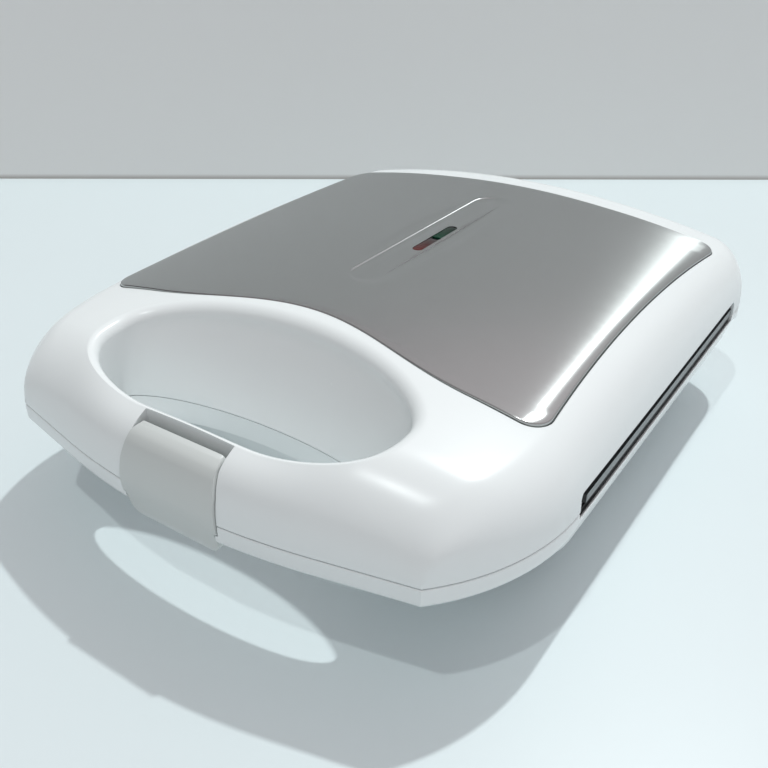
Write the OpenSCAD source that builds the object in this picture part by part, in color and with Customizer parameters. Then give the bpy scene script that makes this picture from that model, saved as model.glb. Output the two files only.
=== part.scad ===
// Four-portion sandwich toaster: a moulded base and a hinged lid, each
// carrying a cast cooking plate. The handle at the front is split between
// the two halves, with an oval finger hole and a clip that holds them shut.
// Millimetres. X is right, Y is back, Z is up, and the feet stand at Z = 0.

/* [Housing] */
// Overall width of the housing
body_w = 267.8; // [264:0.2:280]
// Overall length, from the front of the handle to the back
body_l = 330; // [327:1:340]
// Height of the highest point of the lid
top_z = 104; // [103:0.5:112]
// Height of the joint between base and lid
split_z = 56; // [55:0.2:58]
// Height of the underside of the base's floor
floor_z = 9; // [8:0.5:11]
// Wall of the mouldings
wall = 3.2; // [3:0.1:3.6]
// Gap between the closed lid and the base
lid_gap = 0.4; // [0.3:0.1:0.8]

/* [Shape of the lid] */
// Radius of the lid's crown from side to side
crown_side_r = 524; // [520:4:700]
// Radius of the lid's crown from front to back
crown_long_r = 1606; // [1400:2:2000]
// Distance of the crown's highest line behind the middle
crown_y = 31; // [25:0.5:36]
// Width of the rounded shoulder along the sides and the back
shoulder_w = 20; // [18:0.5:24]
// Width of the rounded shoulder along the front
nose_w = 33; // [30:0.5:36]
// Radius of the front edge in the middle
nose_r = 310; // [280:5:340]
// Angle at which the front edge sweeps back on each side
wing_angle = 12; // [10:0.5:13]
// Radius of the side where it turns in towards the handle
side_r = 95; // [88:1:110]
// Distance in front of the middle at which the sides start to turn in
side_turn = 82; // [78:1:84]
// Radius of the rear corners
corner_r = 31; // [26:1:34]

/* [Side slots] */
// Height of the slot between base and lid along each side
slot_h = 10.1; // [9.4:0.1:11]
// Front end of the slots, in front of the middle
slot_front = 81; // [78:1:84]
// Rear end of the slots, behind the middle
slot_rear = 124; // [118:1:128]

/* [Finger hole] */
// Half the hole's width at the joint
hole_half_w = 75; // [68:1:77]
// Half the hole's length at the joint
hole_half_l = 21.7; // [20:0.1:22.4]
// Distance from the front edge to the hole, over the handle's bar
bar_l = 19.5; // [19.4:0.1:21]
// How far the bar's top lies below the line of the crown
bar_drop = 6; // [4:0.5:7]
// Half the hole's width at its rim
rim_half_w = 76; // [73:1:78]
// Half the hole's length at its rim
rim_half_l = 31.7; // [30:0.1:32.4]
// Radius of the rolled rim at the back of the hole
rim_back_r = 7; // [5:0.5:8]
// Radius of the rolled rim at the handle's bar
rim_front_r = 3; // [2:0.1:3.2]

/* [Base] */
// Depth of the lip along the base's sides
lip_h = 5.2; // [4.8:0.1:6]
// Depth of the base's half of the handle
strip_h = 8.6; // [7.6:0.1:9]
// How far the base curves in below its lip
dish_w = 36; // [30:1:40]
// Distance of the dish's front behind the front edge
dish_front = 63; // [62:1:68]
// Diameter of the feet
foot_d = 17; // [14:0.5:19]
// Half the distance between the feet from side to side
foot_x = 78; // [70:1:82]
// Distance of the front feet in front of the middle
foot_front = 32; // [24:1:38]
// Distance of the rear feet behind the middle
foot_rear = 106; // [98:1:110]

/* [Steel cover] */
// Half the cover's width at its waist
cover_half_w = 112.4; // [110:0.2:114]
// Distance of the cover's front edge in front of the middle, on the centre line
cover_front = 69.9; // [67:0.1:71]
// How much further forward the front edge reaches at the corners
cover_sweep = 13.6; // [10:0.2:14]
// Distance of the cover's rear edge behind the middle
cover_rear = 132; // [128:0.5:134]
// Thickness of the sheet
sheet_t = 0.8; // [0.6:0.1:1]
// Length of the channel pressed into the cover
channel_l = 136.4; // [110:0.2:140]
// Width of the channel
channel_w = 19; // [16:0.5:22]
// Depth of the channel
channel_d = 1.1; // [0.8:0.1:1.3]

/* [Signal lights] */
// Length of the window
window_l = 38.6; // [34:0.2:44]
// Width of the window
window_w = 6.8; // [6:0.2:8]
// Distance of the window's middle behind the middle
window_y = 27; // [20:1:32]

/* [Cooking plates] */
// Width of each plate over its flange
plate_w = 262; // [258:0.5:262]
// Length of each plate over its flange
plate_l = 214; // [208:1:215]
// Thickness of the flange
flange_t = 4; // [3.4:0.1:4.4]
// Depth of the pockets
pocket_d = 11; // [9:0.5:11.5]
// Width of the ridges between the pockets
ridge_w = 7; // [6:0.5:9]
// Thickness of metal under the pockets
plate_t = 3.2; // [3:0.1:3.4]
// Gap between the two plates' faces when the lid is shut
plate_gap = 0.8; // [0.6:0.1:1.2]
// Diameter of the heating elements
element_d = 6.4; // [6:0.1:6.6]

/* [Hinge] */
// Height of the hinge axis above the joint
hinge_rise = 5.6; // [5.2:0.1:6.4]
// Distance of the hinge axis in front of the back edge
hinge_back = 8; // [7.6:0.1:8.6]
// Diameter of the hinge pins
hinge_pin_d = 5; // [4:0.2:5.4]
// Distance of each hinge from the centre line
hinge_x = 84; // [78:1:88]
// Width of each hinge lug on the base
lug_w = 10; // [8:0.5:11]

/* [Latch] */
// Width of the latch
latch_w = 50.4; // [46:0.2:52]
// Height of the latch pin above the joint
latch_pin_rise = 12.6; // [12:0.1:13]
// Diameter of the latch pin
latch_pin_d = 3; // [2.6:0.1:3.2]

/* [Hidden] */

$fn = 48;
eps = 0.01;
fit = 0.15;          // seat of one fixed piece in another
run = 0.06;          // radial clearance of a turning pin
free = 0.8;          // clearance of a moving piece

// Housing
half_w = body_w / 2;
front_y = -body_l / 2;
rear_y = body_l / 2;
lid_z0 = split_z + lid_gap;
side_y = -side_turn;
nose_x = nose_r * sin(wing_angle);
nose_y = front_y + nose_r * (1 - cos(wing_angle));
inner_rear_y = rear_y - 31;      // back of the space for the cooking plates
shoulder_power = 2.4;            // 2 makes the shoulder a quarter of an ellipse, more is fuller
corner_blend = 4;                // how tightly the shoulders of side and front follow each other
lip_inset = 2.4;                 // the dish starts this far inside the lip
lip_edge = 1.6;                  // slope at the lip's lower edge
lid_open = 100;                  // the hinge lets the lid open this far

// Finger hole
hole_y = front_y + bar_l + hole_half_l;
rim_y = front_y + bar_l + rim_half_l;
hole_points = 48;
hole_power = 2.8;                // the hole's front half is fuller than an ellipse, whose power is 2
drop_start = 28;                 // the bar rises from its lowest part this far from the centre line
drop_end = 73;
skirt_h = 10.4;                  // depth of the hole's back wall below the joint

// Cooking plates
plate_y = (slot_rear - slot_front) / 2 - 1;
lower_face = split_z + 4;
upper_face = lower_face + plate_gap;
lower_w = plate_w - 8;
lower_l = plate_l - 2;
ledge_w = 7;                     // the base's ledge under the lower plate's flange
body_inset = 13;                 // flange beyond the body of a plate
plate_depth = pocket_d + plate_t;
cell_w = (plate_w - 2 * body_inset - 3 * ridge_w) / 2;
cell_l = (plate_l - 2 * body_inset - 3 * ridge_w) / 2;
boss_x = 40;
boss_y = 84;
flange_screw_x = plate_w / 2 - 6.5;
flange_screw_y = plate_l / 2 - 6.5;

// Heating elements and their shields
element_r = element_d / 2;
element_half_w = 62;
element_l = 150;
element_end = 12;                // cold end beyond the plate's groove
shield_t = 0.9;
shield_depth = plate_depth + element_d + 1;
shield_wall = shield_depth - plate_depth - 0.4;
shield_w = plate_w - 2 * body_inset - 8;
shield_l = plate_l - 2 * body_inset + 8;
shield_floor = lower_face - shield_depth;
shield_top = upper_face + shield_depth;
pillar_x = 30;
pillar_rows = [-30, 55];

// Screws
screw_r = 1.9;
head_h = 2.4;
screw_head_z = floor_z + 3;
liner_boss_x = 99;
liner_boss_y = front_y + 48;
liner_t = 2.4;
liner_z = lid_z0 + 0.2;

// Cord inlet
inlet_x = 0;
inlet_y = rear_y - 8.6;
inlet_z = floor_z + 20;
inlet_r = 6;

// Hinge
hinge_y = rear_y - hinge_back;
hinge_z = split_z + hinge_rise;
hinge_pin_r = hinge_pin_d / 2;
lug_r = hinge_pin_r + 3.2;
pin_l = lug_w + 18;
hinge_drop = 4.8;                // the base's back edge lies this far below the joint

// Latch
latch_half = latch_w / 2;
latch_pin_y = front_y + 8.6;
latch_pin_z = split_z + latch_pin_rise;
latch_pin_r = latch_pin_d / 2;
barrel_half = latch_half - 1.4;
recess_half = latch_half + free;
cheek_w = 4;
recess_y = front_y + 16.7;       // back of the latch's recess in the lid
notch_y = front_y + 6;           // back of its notch in the base
hook_reach = 4.2;                // how far the latch reaches under the base

// Steel cover
cover_lift = 0.5;                // the cover stands this far above the crown
cover_waist_r = 1207;
cover_waist_y = 19;
cover_corner_r = 9.5;
cover_mid = (cover_rear - cover_front) / 2;
edge_turn = 2.2;                 // depth of the cover's turned edge
channel_y = crown_y + 0.5;

// Signal lights
bezel_w = 0.7;                   // rim of the bezel round the lenses

function mix(a, b, t) = a + (b - a) * t;
function smooth(t) = let(u = max(0, min(1, t))) u * u * (3 - 2 * u);
function unit(v) = v / norm(v);
function mean(ring) =
    [for (k = [0:2]) let(v = [for (p = ring) p[k]]) v * [for (p = ring) 1] / len(ring)];
function mirrored(half) = concat(half, [for (i = [len(half) - 2:-1:1]) [-half[i].x, half[i].y]]);

// ---- Outline of the housing, set in by e ----

function front_edge(x, e = 0) = abs(x) < nose_x
    ? front_y + nose_r - sqrt(nose_r * nose_r - x * x) + e
    : nose_y + (abs(x) - nose_x) * tan(wing_angle) + e / cos(wing_angle);

function arc_reach(r, h) = sqrt(max(0, r * r - h * h));

function half_width(y, e = 0) = y < side_y
    ? half_w - side_r + arc_reach(side_r - e, y - side_y)
    : y > rear_y - corner_r
        ? half_w - corner_r + arc_reach(corner_r - e, y - rear_y + corner_r)
        : half_w - e;

// Where the swept front edge meets the curved side
function front_corner_x(e) =
    let(m = tan(wing_angle),
        cx = half_w - side_r,
        b = nose_y + e / cos(wing_angle) - m * nose_x - side_y,
        p = (m * b - cx) / (1 + m * m),
        q = (cx * cx + b * b - pow(side_r - e, 2)) / (1 + m * m))
    -p + sqrt(p * p - q);

function half_outline(e) =
    let(xc = front_corner_x(e),
        cx = half_w - side_r,
        turn = atan2(side_y - front_edge(xc, e), xc - cx),
        bx = half_w - corner_r,
        by = rear_y - corner_r)
    concat(
        [for (i = [0:9]) [xc * i / 10, front_edge(xc * i / 10, e)]],
        [for (i = [0:8])
            let(a = turn * (1 - i / 8))
            [cx + (side_r - e) * cos(a), side_y - (side_r - e) * sin(a)]],
        [for (i = [1:4]) [half_w - e, mix(side_y, by, i / 5)]],
        [for (i = [0:5]) [bx + (corner_r - e) * cos(18 * i), by + (corner_r - e) * sin(18 * i)]],
        [for (i = [1:5]) [bx * (1 - i / 5), rear_y - e]]
    );

function outline(e = 0) = mirrored(half_outline(e));

// ---- Height of the lid's surface, set in by e ----

function crown(x, y) =
    top_z - x * x / (2 * crown_side_r) - pow(y - crown_y, 2) / (2 * crown_long_r);

function rounded(t, p) = t <= 0 ? 0 : t >= 1 ? 1 : pow(1 - pow(1 - t, p), 1 / p);

// Part of the crown's height that the surface reaches near its edges
function edge_rise(x, y, e) =
    let(side = rounded((half_width(y, e) - abs(x)) / shoulder_w, shoulder_power),
        front = rounded((y - front_edge(x, e)) / nose_w, 2),
        back = rounded((rear_y - e - y) / shoulder_w, shoulder_power),
        k = corner_blend)
    min(side, front, back) < eps / 10 ? 0
        : pow(pow(side, -k) + pow(front, -k) + pow(back, -k) - 2, -1 / k);

// The handle's bar is lower than the crown in its middle part
function bar_dip(x, y, e) =
    bar_drop * smooth((y - front_edge(x, e) - 1) / 19)
        * (1 - smooth((abs(x) - drop_start) / (drop_end - drop_start)))
        * (1 - smooth((y - front_y - 29) / 26));

function lid_z(x, y, e = 0) =
    lid_z0 + (crown(x, y) - e - lid_z0) * edge_rise(x, y, e) - bar_dip(x, y, e);

// ---- Solids from rings of points, lowest ring first ----

module loft(rings) {
    n = len(rings[0]);
    m = len(rings);
    last = n * m + 1;
    points = [mean(rings[0]), for (r = rings) for (p = r) p, mean(rings[m - 1])];
    bottom = [for (j = [0:n - 1]) [0, 1 + j, 1 + (j + 1) % n]];
    top = [for (j = [0:n - 1]) [last, last - n + (j + 1) % n, last - n + j]];
    sides = [for (i = [0:m - 2]) for (j = [0:n - 1])
        let(a = 1 + i * n + j, b = 1 + i * n + (j + 1) % n)
        each [[a, a + n, b + n], [a, b + n, b]]];
    polyhedron(points = points, faces = concat(bottom, sides, top), convexity = 8);
}

function at_height(shape, z) = [for (p = shape) [p.x, p.y, z]];
function shrunk(shape, s, y0 = 0) = [for (p = shape) [p.x * s, y0 + (p.y - y0) * s]];
function on_crown(shape, lift) = [for (p = shape) [p.x, p.y, crown(p.x, p.y) + lift]];
function on_lid(shape, e) = [for (p = shape) [p.x, p.y, lid_z(p.x, p.y, e)]];

module lid_form(e, drop, steps) {
    plan = outline(e);
    loft(concat(
        drop > 0 ? [at_height(plan, lid_z0 - drop)] : [],
        [for (s = steps) on_lid(shrunk(plan, s), e)]
    ));
}

fine_steps = [1, 0.9995, 0.998, 0.994, 0.986, 0.972, 0.95, 0.92, 0.88, 0.8, 0.6, 0.36, 0.1];
coarse_steps = [1, 0.998, 0.99, 0.965, 0.92, 0.86, 0.6, 0.36, 0.1];

// ---- Outlines with rounded corners ----

module round_rect(w, l, r) {
    square([w - 2 * r, l], center = true);
    square([w, l - 2 * r], center = true);
    for (x = [-1, 1])
        for (y = [-1, 1])
            translate([x * (w / 2 - r), y * (l / 2 - r)])
                circle(r);
}

module stadium(w, l) {
    square([w, l - w], center = true);
    for (y = [-1, 1])
        translate([0, y * (l - w) / 2])
            circle(w / 2);
}

function round_rect_points(hw, y0, y1, r, steps = 5) = [
    for (c = [[1, y0 + r, -90], [1, y1 - r, 0], [-1, y1 - r, 90], [-1, y0 + r, 180]])
        for (i = [0:steps])
            let(a = c[2] + 90 * i / steps)
            [c[0] * (hw - r) + r * cos(a), c[1] + r * sin(a)]
];

// Ring round the finger hole: half an ellipse behind, fuller in front
function power(front) = front ? hole_power : 2;
function hole_ring(a, b, yc) = [
    for (i = [0:hole_points - 1])
        let(t = 360 * i / hole_points, n = power(cos(t) > 0))
        [a * sin(t), yc - b * sign(cos(t)) * pow(max(0, 1 - pow(abs(sin(t)), n)), 1 / n)]
];
function slope(d, r, n) = sign(d) * pow(abs(d) / r, n - 1) / r;

// ---- Finger hole ----

// From below the base up to the lid's rolled rim, whose radius grows from front to back
module finger_hole() {
    low = hole_ring(hole_half_w, hole_half_l, hole_y);
    rim = hole_ring(rim_half_w, rim_half_l, rim_y);
    last = hole_points - 1;
    roll = [for (i = [0:last]) mix(rim_front_r, rim_back_r, (1 - cos(360 * i / hole_points)) / 2)];
    away = [for (p = rim)
        let(n = power(p.y < rim_y))
        unit([slope(p.x, rim_half_w, n), slope(p.y - rim_y, rim_half_l, n)])];
    edge = [for (i = [0:last]) rim[i] + away[i] * roll[i]];
    base = [for (i = [0:last]) lid_z(edge[i].x, edge[i].y) - roll[i]];
    steep = 72;
    loft(concat(
        [at_height(low, split_z - 20), at_height(low, split_z)],
        [for (a = [0, 20, 40, 56, steep]) [for (i = [0:last])
            let(p = mix(rim[i], edge[i], 1 - cos(a)))
            [p.x, p.y, base[i] + roll[i] * sin(a)]]],
        [[for (i = [0:last])
            let(p = mix(rim[i], edge[i], 1 - cos(steep)))
            [p.x, p.y, top_z + 5]]]
    ));
}

// The space kept solid round the hole inside the lid
module hole_wall() {
    low = hole_ring(hole_half_w + wall, hole_half_l + wall, hole_y);
    loft([
        at_height(low, split_z - 21),
        at_height(low, split_z),
        at_height(hole_ring(rim_half_w + rim_back_r, rim_half_l + rim_back_r, rim_y), top_z - 6)
    ]);
}

// ---- Base ----

// The lip is deeper at the handle, and lower at the back where the lid swings over it
function lip_bottom(y) =
    split_z - mix(strip_h, lip_h, smooth((y + 96) / 40)) - hinge_drop * smooth((y - 128) / 16);

module base_lip() {
    plan = outline();
    edge = outline(lip_edge);
    loft([
        [for (p = edge) [p.x, p.y, lip_bottom(p.y)]],
        [for (p = plan) [p.x, p.y, lip_bottom(p.y) + lip_edge]],
        at_height(plan, split_z)
    ]);
}

// The bowl under the lip, set in by e and closed at height top
module dish(e, top) {
    lip_z = split_z - lip_h + 1;
    depth = lip_z - floor_z - e;
    corner = 26;
    loft([
        for (a = [90, 70, 50, 32, 16, 0])
            let(in = dish_w * (1 - cos(a)) + e + lip_inset,
                y0 = front_y + dish_front + in,
                y1 = rear_y - 3 - in * 0.8)
            at_height(round_rect_points(half_w - in, y0, y1, corner), lip_z - depth * sin(a)),
        let(in = lip_inset + e,
            y0 = front_y + dish_front + in,
            y1 = rear_y - 3 - in * 0.8)
        at_height(round_rect_points(half_w - in, y0, y1, corner), top)
    ]);
}

// Back wall of the finger hole where it goes on below the handle
module hole_skirt() {
    translate([0, 0, split_z - skirt_h])
        linear_extrude(skirt_h - 1)
            difference() {
                polygon(hole_ring(hole_half_w + wall, hole_half_l + wall, hole_y));
                translate([-half_w, front_y])
                    square([2 * half_w, hole_y - front_y]);
            }
}

module hinge_lug() {
    rotate([90, 0, 90])
        linear_extrude(lug_w, center = true) {
            circle(lug_r);
            translate([-lug_r, -18])
                square([2 * lug_r, 18]);
        }
}

module foot_places() {
    for (x = [-1, 1])
        for (y = [-foot_front, foot_rear])
            translate([x * foot_x, y, 0])
                children();
}

module four_places(dx, dy) {
    for (x = [-1, 1])
        for (y = [-1, 1])
            translate([x * dx, y * dy, 0])
                children();
}

module base_screw_places() {
    translate([0, plate_y, 0])
        four_places(boss_x, boss_y)
            children();
}

module hinge_places() {
    for (x = [-1, 1])
        translate([x * hinge_x, hinge_y, hinge_z])
            children();
}

// Runs from front to back through the inlet's centre, starting at y
module inlet_cylinder(r, y, l) {
    translate([inlet_x, y, inlet_z])
        rotate([-90, 0, 0])
            cylinder(r = r, h = l);
}

module base_shell() {
    color("whitesmoke")
    difference() {
        union() {
            difference() {
                union() {
                    base_lip();
                    dish(0, split_z - 1);
                    hole_skirt();
                    inlet_cylinder(inlet_r + 3, inlet_y - 14, 14);
                }
                difference() {
                    dish(wall, split_z - wall);
                    inlet_cylinder(inlet_r + 3, inlet_y - 14, 14);
                }
                // the back edge lies lower, to let the lid swing over it
                translate([-half_w, hinge_y - 10, split_z - hinge_drop])
                    cube([2 * half_w, 30, 20]);
            }
            hinge_places()
                hinge_lug();
            foot_places()
                translate([0, 0, floor_z - 4])
                    cylinder(r = foot_d / 2 + 2, h = 8);
            base_screw_places()
                translate([0, 0, floor_z + wall])
                    cylinder(r = 5, h = shield_floor - floor_z - wall);
        }
        // opening for the lower plate, which rests on the ledge round it
        translate([0, plate_y, split_z - 12])
            linear_extrude(20)
                round_rect(lower_w - 2 * ledge_w, lower_l - 2 * ledge_w, 10);
        finger_hole();
        latch_space(notch_y, 4);
        hinge_places()
            rotate([0, 90, 0])
                cylinder(r = hinge_pin_r + run, h = lug_w + 2, center = true);
        foot_places()
            translate([0, 0, -eps])
                cylinder(r = foot_d / 2 - 1.5, h = floor_z + 0.5);
        base_screw_places() {
            cylinder(r = screw_r + 0.3, h = shield_floor + 1);
            cylinder(r = 4.2, h = screw_head_z);
        }
        // vents in the floor
        for (x = [-1, 1])
            for (i = [-3:3])
                translate([x * 30, plate_y + i * 9, 0])
                    rotate([0, 0, 90])
                        linear_extrude(floor_z + wall + 1)
                            stadium(3, 34);
        inlet_cylinder(inlet_r, inlet_y - 50, 80);
        inlet_cylinder(inlet_r + 2.7, inlet_y, 20);
    }
}

// Rubber bush through the back of the base, where the mains lead goes in
module cord_inlet() {
    bore = 3.6;
    color("#2b2b2b")
    translate([inlet_x, inlet_y, inlet_z])
        rotate([-90, 0, 0])
            rotate_extrude()
                polygon([
                    [bore, -15], [inlet_r - fit, -15], [inlet_r - fit, 0.1],
                    [inlet_r + 2.4, 0.1], [inlet_r + 2.4, 2], [bore + 1.8, 8], [bore, 8]
                ]);
}

module feet() {
    stem = foot_d / 2 - 1.5 - fit;
    color("#3a3a3a")
    foot_places()
        rotate_extrude()
            polygon([
                [0, 0], [foot_d / 2 - 1, 0], [foot_d / 2, 1], [foot_d / 2, floor_z - 4.2],
                [stem, floor_z - 4.2], [stem, floor_z + 0.4], [0, floor_z + 0.4]
            ]);
}

// Pan-head screw standing on its head
module screw(r, l, head_r, h) {
    rotate_extrude()
        polygon([
            [0, 0], [head_r - 0.6, 0], [head_r, 0.8], [head_r, h],
            [r, h], [r, h + l - 0.6], [r - 0.6, h + l], [0, h + l]
        ]);
}

module base_screws() {
    color("silver")
    base_screw_places()
        translate([0, 0, screw_head_z - head_h])
            screw(screw_r, shield_floor + shield_t - screw_head_z + 5, 4, head_h);
}

// ---- Cooking plates, drawn face up with the face at Z = 0 ----

function inner_point(t) =
    let(a = norm(t[1] - t[2]), b = norm(t[2] - t[0]), c = norm(t[0] - t[1]))
    (a * t[0] + b * t[1] + c * t[2]) / (a + b + c);

function inner_radius(t) =
    let(a = norm(t[1] - t[2]), b = norm(t[2] - t[0]), c = norm(t[0] - t[1]),
        s = (a + b + c) / 2)
    sqrt((s - a) * (s - b) * (s - c) / s);

// A counter-clockwise triangle with its corners rounded
function soft_triangle(t, r, steps = 4) = [
    for (k = [0:2])
        let(p = t[k], u = unit(t[(k + 2) % 3] - p), v = unit(t[(k + 1) % 3] - p),
            half = acos(u * v) / 2,
            centre = p + unit(u + v) * r / sin(half),
            start = atan2(v.x, -v.y) + (180 - 2 * half) - 180)
        for (i = [0:steps])
            let(a = start + (180 - 2 * half) * (i / steps - 1) + 180)
            centre + r * [cos(a), sin(a)]
];

// One half of a sandwich: a bowl with sloping walls
module pocket(t) {
    c = inner_point(t);
    rho = inner_radius(t);
    rings = [[0, 1], [0, 0], [1.2, -0.45], [4.5, -0.8], [9, -0.95], [14, -1]];
    loft([
        for (i = [len(rings) - 1:-1:0])
            let(s = (rho - rings[i][0]) / rho, z = rings[i][1] * pocket_d)
            at_height(soft_triangle([for (p = t) c + (p - c) * s], 7 * s), z)
    ]);
}

module pockets() {
    h = cell_w * cell_l / norm([cell_w, cell_l]);
    k = 1 - ridge_w / 2 / h;
    for (sx = [-1, 1])
        for (sy = [-1, 1]) {
            x0 = sx > 0 ? ridge_w / 2 : -ridge_w / 2 - cell_w;
            y0 = sy > 0 ? ridge_w / 2 : -ridge_w / 2 - cell_l;
            x1 = x0 + cell_w;
            y1 = y0 + cell_l;
            if (sx * sy > 0) {
                pocket([[x0, y0], [x0 + k * cell_w, y0], [x0, y0 + k * cell_l]]);
                pocket([[x1, y1], [x1 - k * cell_w, y1], [x1, y1 - k * cell_l]]);
            } else {
                pocket([[x1, y0], [x1, y0 + k * cell_l], [x1 - k * cell_w, y0]]);
                pocket([[x0, y1], [x0, y1 - k * cell_l], [x0 + k * cell_w, y1]]);
            }
        }
}

// A tube bent to a U, with its two ends at the back
module element_path(r) {
    bend_y = element_half_w - element_l / 2;
    translate([0, bend_y, 0])
        rotate([0, 0, 180])
            rotate_extrude(angle = 180)
                translate([element_half_w, 0])
                    circle(r);
    for (x = [-1, 1])
        translate([x * element_half_w, bend_y, 0])
            rotate([-90, 0, 0])
                cylinder(r = r, h = element_l - element_half_w + element_end);
}

module element_place() {
    translate([0, 0, 1 - plate_depth - element_r])
        children();
}

module cooking_plate(w, l) {
    difference() {
        union() {
            translate([0, 0, -flange_t])
                linear_extrude(flange_t)
                    round_rect(w, l, 14);
            translate([0, 0, -plate_depth])
                linear_extrude(plate_depth - 1)
                    round_rect(plate_w - 2 * body_inset, plate_l - 2 * body_inset, 10);
            // bosses for the screws that come through the heat shield
            four_places(boss_x, boss_y)
                translate([0, 0, shield_t - shield_depth])
                    cylinder(r = 4, h = shield_depth - plate_depth);
        }
        pockets();
        element_place()
            element_path(element_r + 0.1);
        four_places(boss_x, boss_y)
            translate([0, 0, -shield_depth])
                cylinder(r = screw_r + 0.05, h = shield_t + 5.4);
    }
}

module element() {
    element_place() {
        element_path(element_r);
        // the narrow terminal at each end
        for (x = [-1, 1])
            translate([x * element_half_w, element_l / 2 + element_end - 0.5, 0])
                rotate([-90, 0, 0])
                    cylinder(r = 1.5, h = 8);
    }
}

module heat_shield() {
    translate([0, 0, -shield_depth])
        difference() {
            linear_extrude(shield_wall)
                round_rect(shield_w, shield_l, 12);
            translate([0, 0, shield_t])
                linear_extrude(shield_depth)
                    round_rect(shield_w - 2 * shield_t, shield_l - 2 * shield_t, 12 - shield_t);
            four_places(boss_x, boss_y)
                translate([0, 0, -1])
                    cylinder(r = screw_r + 0.3, h = 3);
            // over the thermostat
            translate([0, 0, -1])
                cylinder(r = 11, h = 3);
        }
}

module lower_place() {
    translate([0, plate_y, lower_face])
        children();
}

module upper_place() {
    translate([0, plate_y, upper_face])
        mirror([0, 0, 1])
            children();
}

module lower_plate() {
    color("#3b3d3f")
    lower_place()
        cooking_plate(lower_w, lower_l);
}

module lower_element() {
    color("#8a8378")
    lower_place()
        element();
}

module lower_heat_shield() {
    color("#c9ccce")
    lower_place()
        heat_shield();
}

module terminal_block() {
    color("#e8e4d8")
    translate([34, rear_y - 44, floor_z + wall])
        difference() {
            translate([-14, -8, 0])
                cube([28, 16, 13]);
            for (x = [-8.5, 0, 8.5]) {
                translate([x, 0, 7.5])
                    rotate([90, 0, 0])
                        cylinder(r = 1.8, h = 20, center = true);
                translate([x, -4, 7])
                    cylinder(r = 1.7, h = 10);
            }
        }
}

// ---- Lid ----

module lid_cavity() {
    difference() {
        lid_form(wall, 2, coarse_steps);
        hole_wall();
        // solid back, which carries the hinge
        translate([-half_w, inner_rear_y, 0])
            cube([2 * half_w, 60, hinge_z + 12]);
        // cheeks that carry the latch pin
        translate([-recess_half - cheek_w, front_y, 0])
            cube([2 * (recess_half + cheek_w), recess_y - front_y + 3, top_z]);
    }
}

// Pillars for the upper heat shield, each as long as the crown is high above it
module lid_pillars() {
    for (x = [-1, 1])
        for (y = pillar_rows)
            translate([x * pillar_x, plate_y + y, shield_top + fit])
                cylinder(r = 5, h = crown(pillar_x, plate_y + y) - wall + 1 - shield_top - fit);
}

module flange_bosses() {
    translate([0, plate_y, upper_face + flange_t + fit])
        four_places(flange_screw_x, flange_screw_y)
            cylinder(r = 4.4, h = 18);
}

// Notch that lets the lid turn round a lug of the base
module lug_notch() {
    clear = lug_r + free;
    rotate([90, 0, 90])
        linear_extrude(lug_w + 2 * free, center = true) {
            circle(clear);
            translate([-clear, -20])
                square([60, 20 + clear]);
            rotate(lid_open - 90)
                translate([0, -clear])
                    square([60, 2 * clear]);
        }
}

module lid_cover() {
    color("whitesmoke")
    difference() {
        union() {
            difference() {
                lid_form(0, 0, fine_steps);
                lid_cavity();
            }
            intersection() {
                lid_form(1, 0, coarse_steps);
                union() {
                    lid_pillars();
                    flange_bosses();
                    for (x = [-1, 1])
                        translate([x * liner_boss_x, liner_boss_y, liner_z + liner_t + fit])
                            cylinder(r = 4, h = 24);
                }
            }
        }
        finger_hole();
        cover_seat();
        // slots between lid and base along the sides
        translate([0, (slot_rear - slot_front) / 2, split_z + slot_h - 10])
            rotate([90, 0, 90])
                linear_extrude(body_w + 10, center = true)
                    round_rect(slot_rear + slot_front, 20, 3);
        latch_space(recess_y, top_z - split_z);
        translate([0, latch_pin_y, latch_pin_z])
            rotate([0, 90, 0])
                cylinder(r = latch_pin_r, h = 2 * recess_half + 7, center = true);
        hinge_places() {
            lug_notch();
            rotate([0, 90, 0])
                cylinder(r = hinge_pin_r, h = pin_l, center = true);
        }
        for (x = [-1, 1])
            translate([x * liner_boss_x, liner_boss_y, 0])
                cylinder(r = 1.5, h = lid_z0 + 16);
        for (x = [-1, 1])
            for (y = pillar_rows)
                translate([x * pillar_x, plate_y + y, upper_face])
                    cylinder(r = screw_r + 0.05, h = shield_depth + 9);
        translate([0, plate_y, upper_face])
            four_places(flange_screw_x, flange_screw_y)
                cylinder(r = 1.5, h = flange_t + 9);
        // opening under the signal lights
        translate([0, window_y, shield_top])
            linear_extrude(40)
                stadium(window_w + 2 * fit, window_l + 2 * fit);
    }
}

// Closes the underside of the handle
module handle_liner() {
    cheek = recess_half + cheek_w + fit;
    color("whitesmoke")
    difference() {
        translate([0, 0, liner_z])
            linear_extrude(liner_t)
                difference() {
                    polygon(outline(wall + fit));
                    translate([-half_w, plate_y - plate_l / 2 - 2])
                        square([2 * half_w, body_l]);
                    translate([-cheek, front_y])
                        square([2 * cheek, recess_y - front_y + 3 + fit]);
                    polygon(hole_ring(hole_half_w + wall + 1.6, hole_half_l + wall + 1.6, hole_y + 0.6));
                }
        for (x = [-1, 1])
            translate([x * liner_boss_x, liner_boss_y, 0])
                cylinder(r = 1.8, h = top_z);
    }
}

module liner_screws() {
    color("silver")
    for (x = [-1, 1])
        translate([x * liner_boss_x, liner_boss_y, liner_z - 0.6])
            screw(1.45, 10, 3, 0.6);
}

// ---- Steel cover ----

function cover_half(y) = cover_half_w + pow(y - cover_waist_y, 2) / (2 * cover_waist_r);
function cover_front_edge(x) =
    -cover_front - cover_sweep * (1 - cos(180 * min(1, abs(x) / 84))) / 2;
function cover_rear_edge(x) = cover_rear - 0.8 * pow(x / 107, 2);

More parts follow.
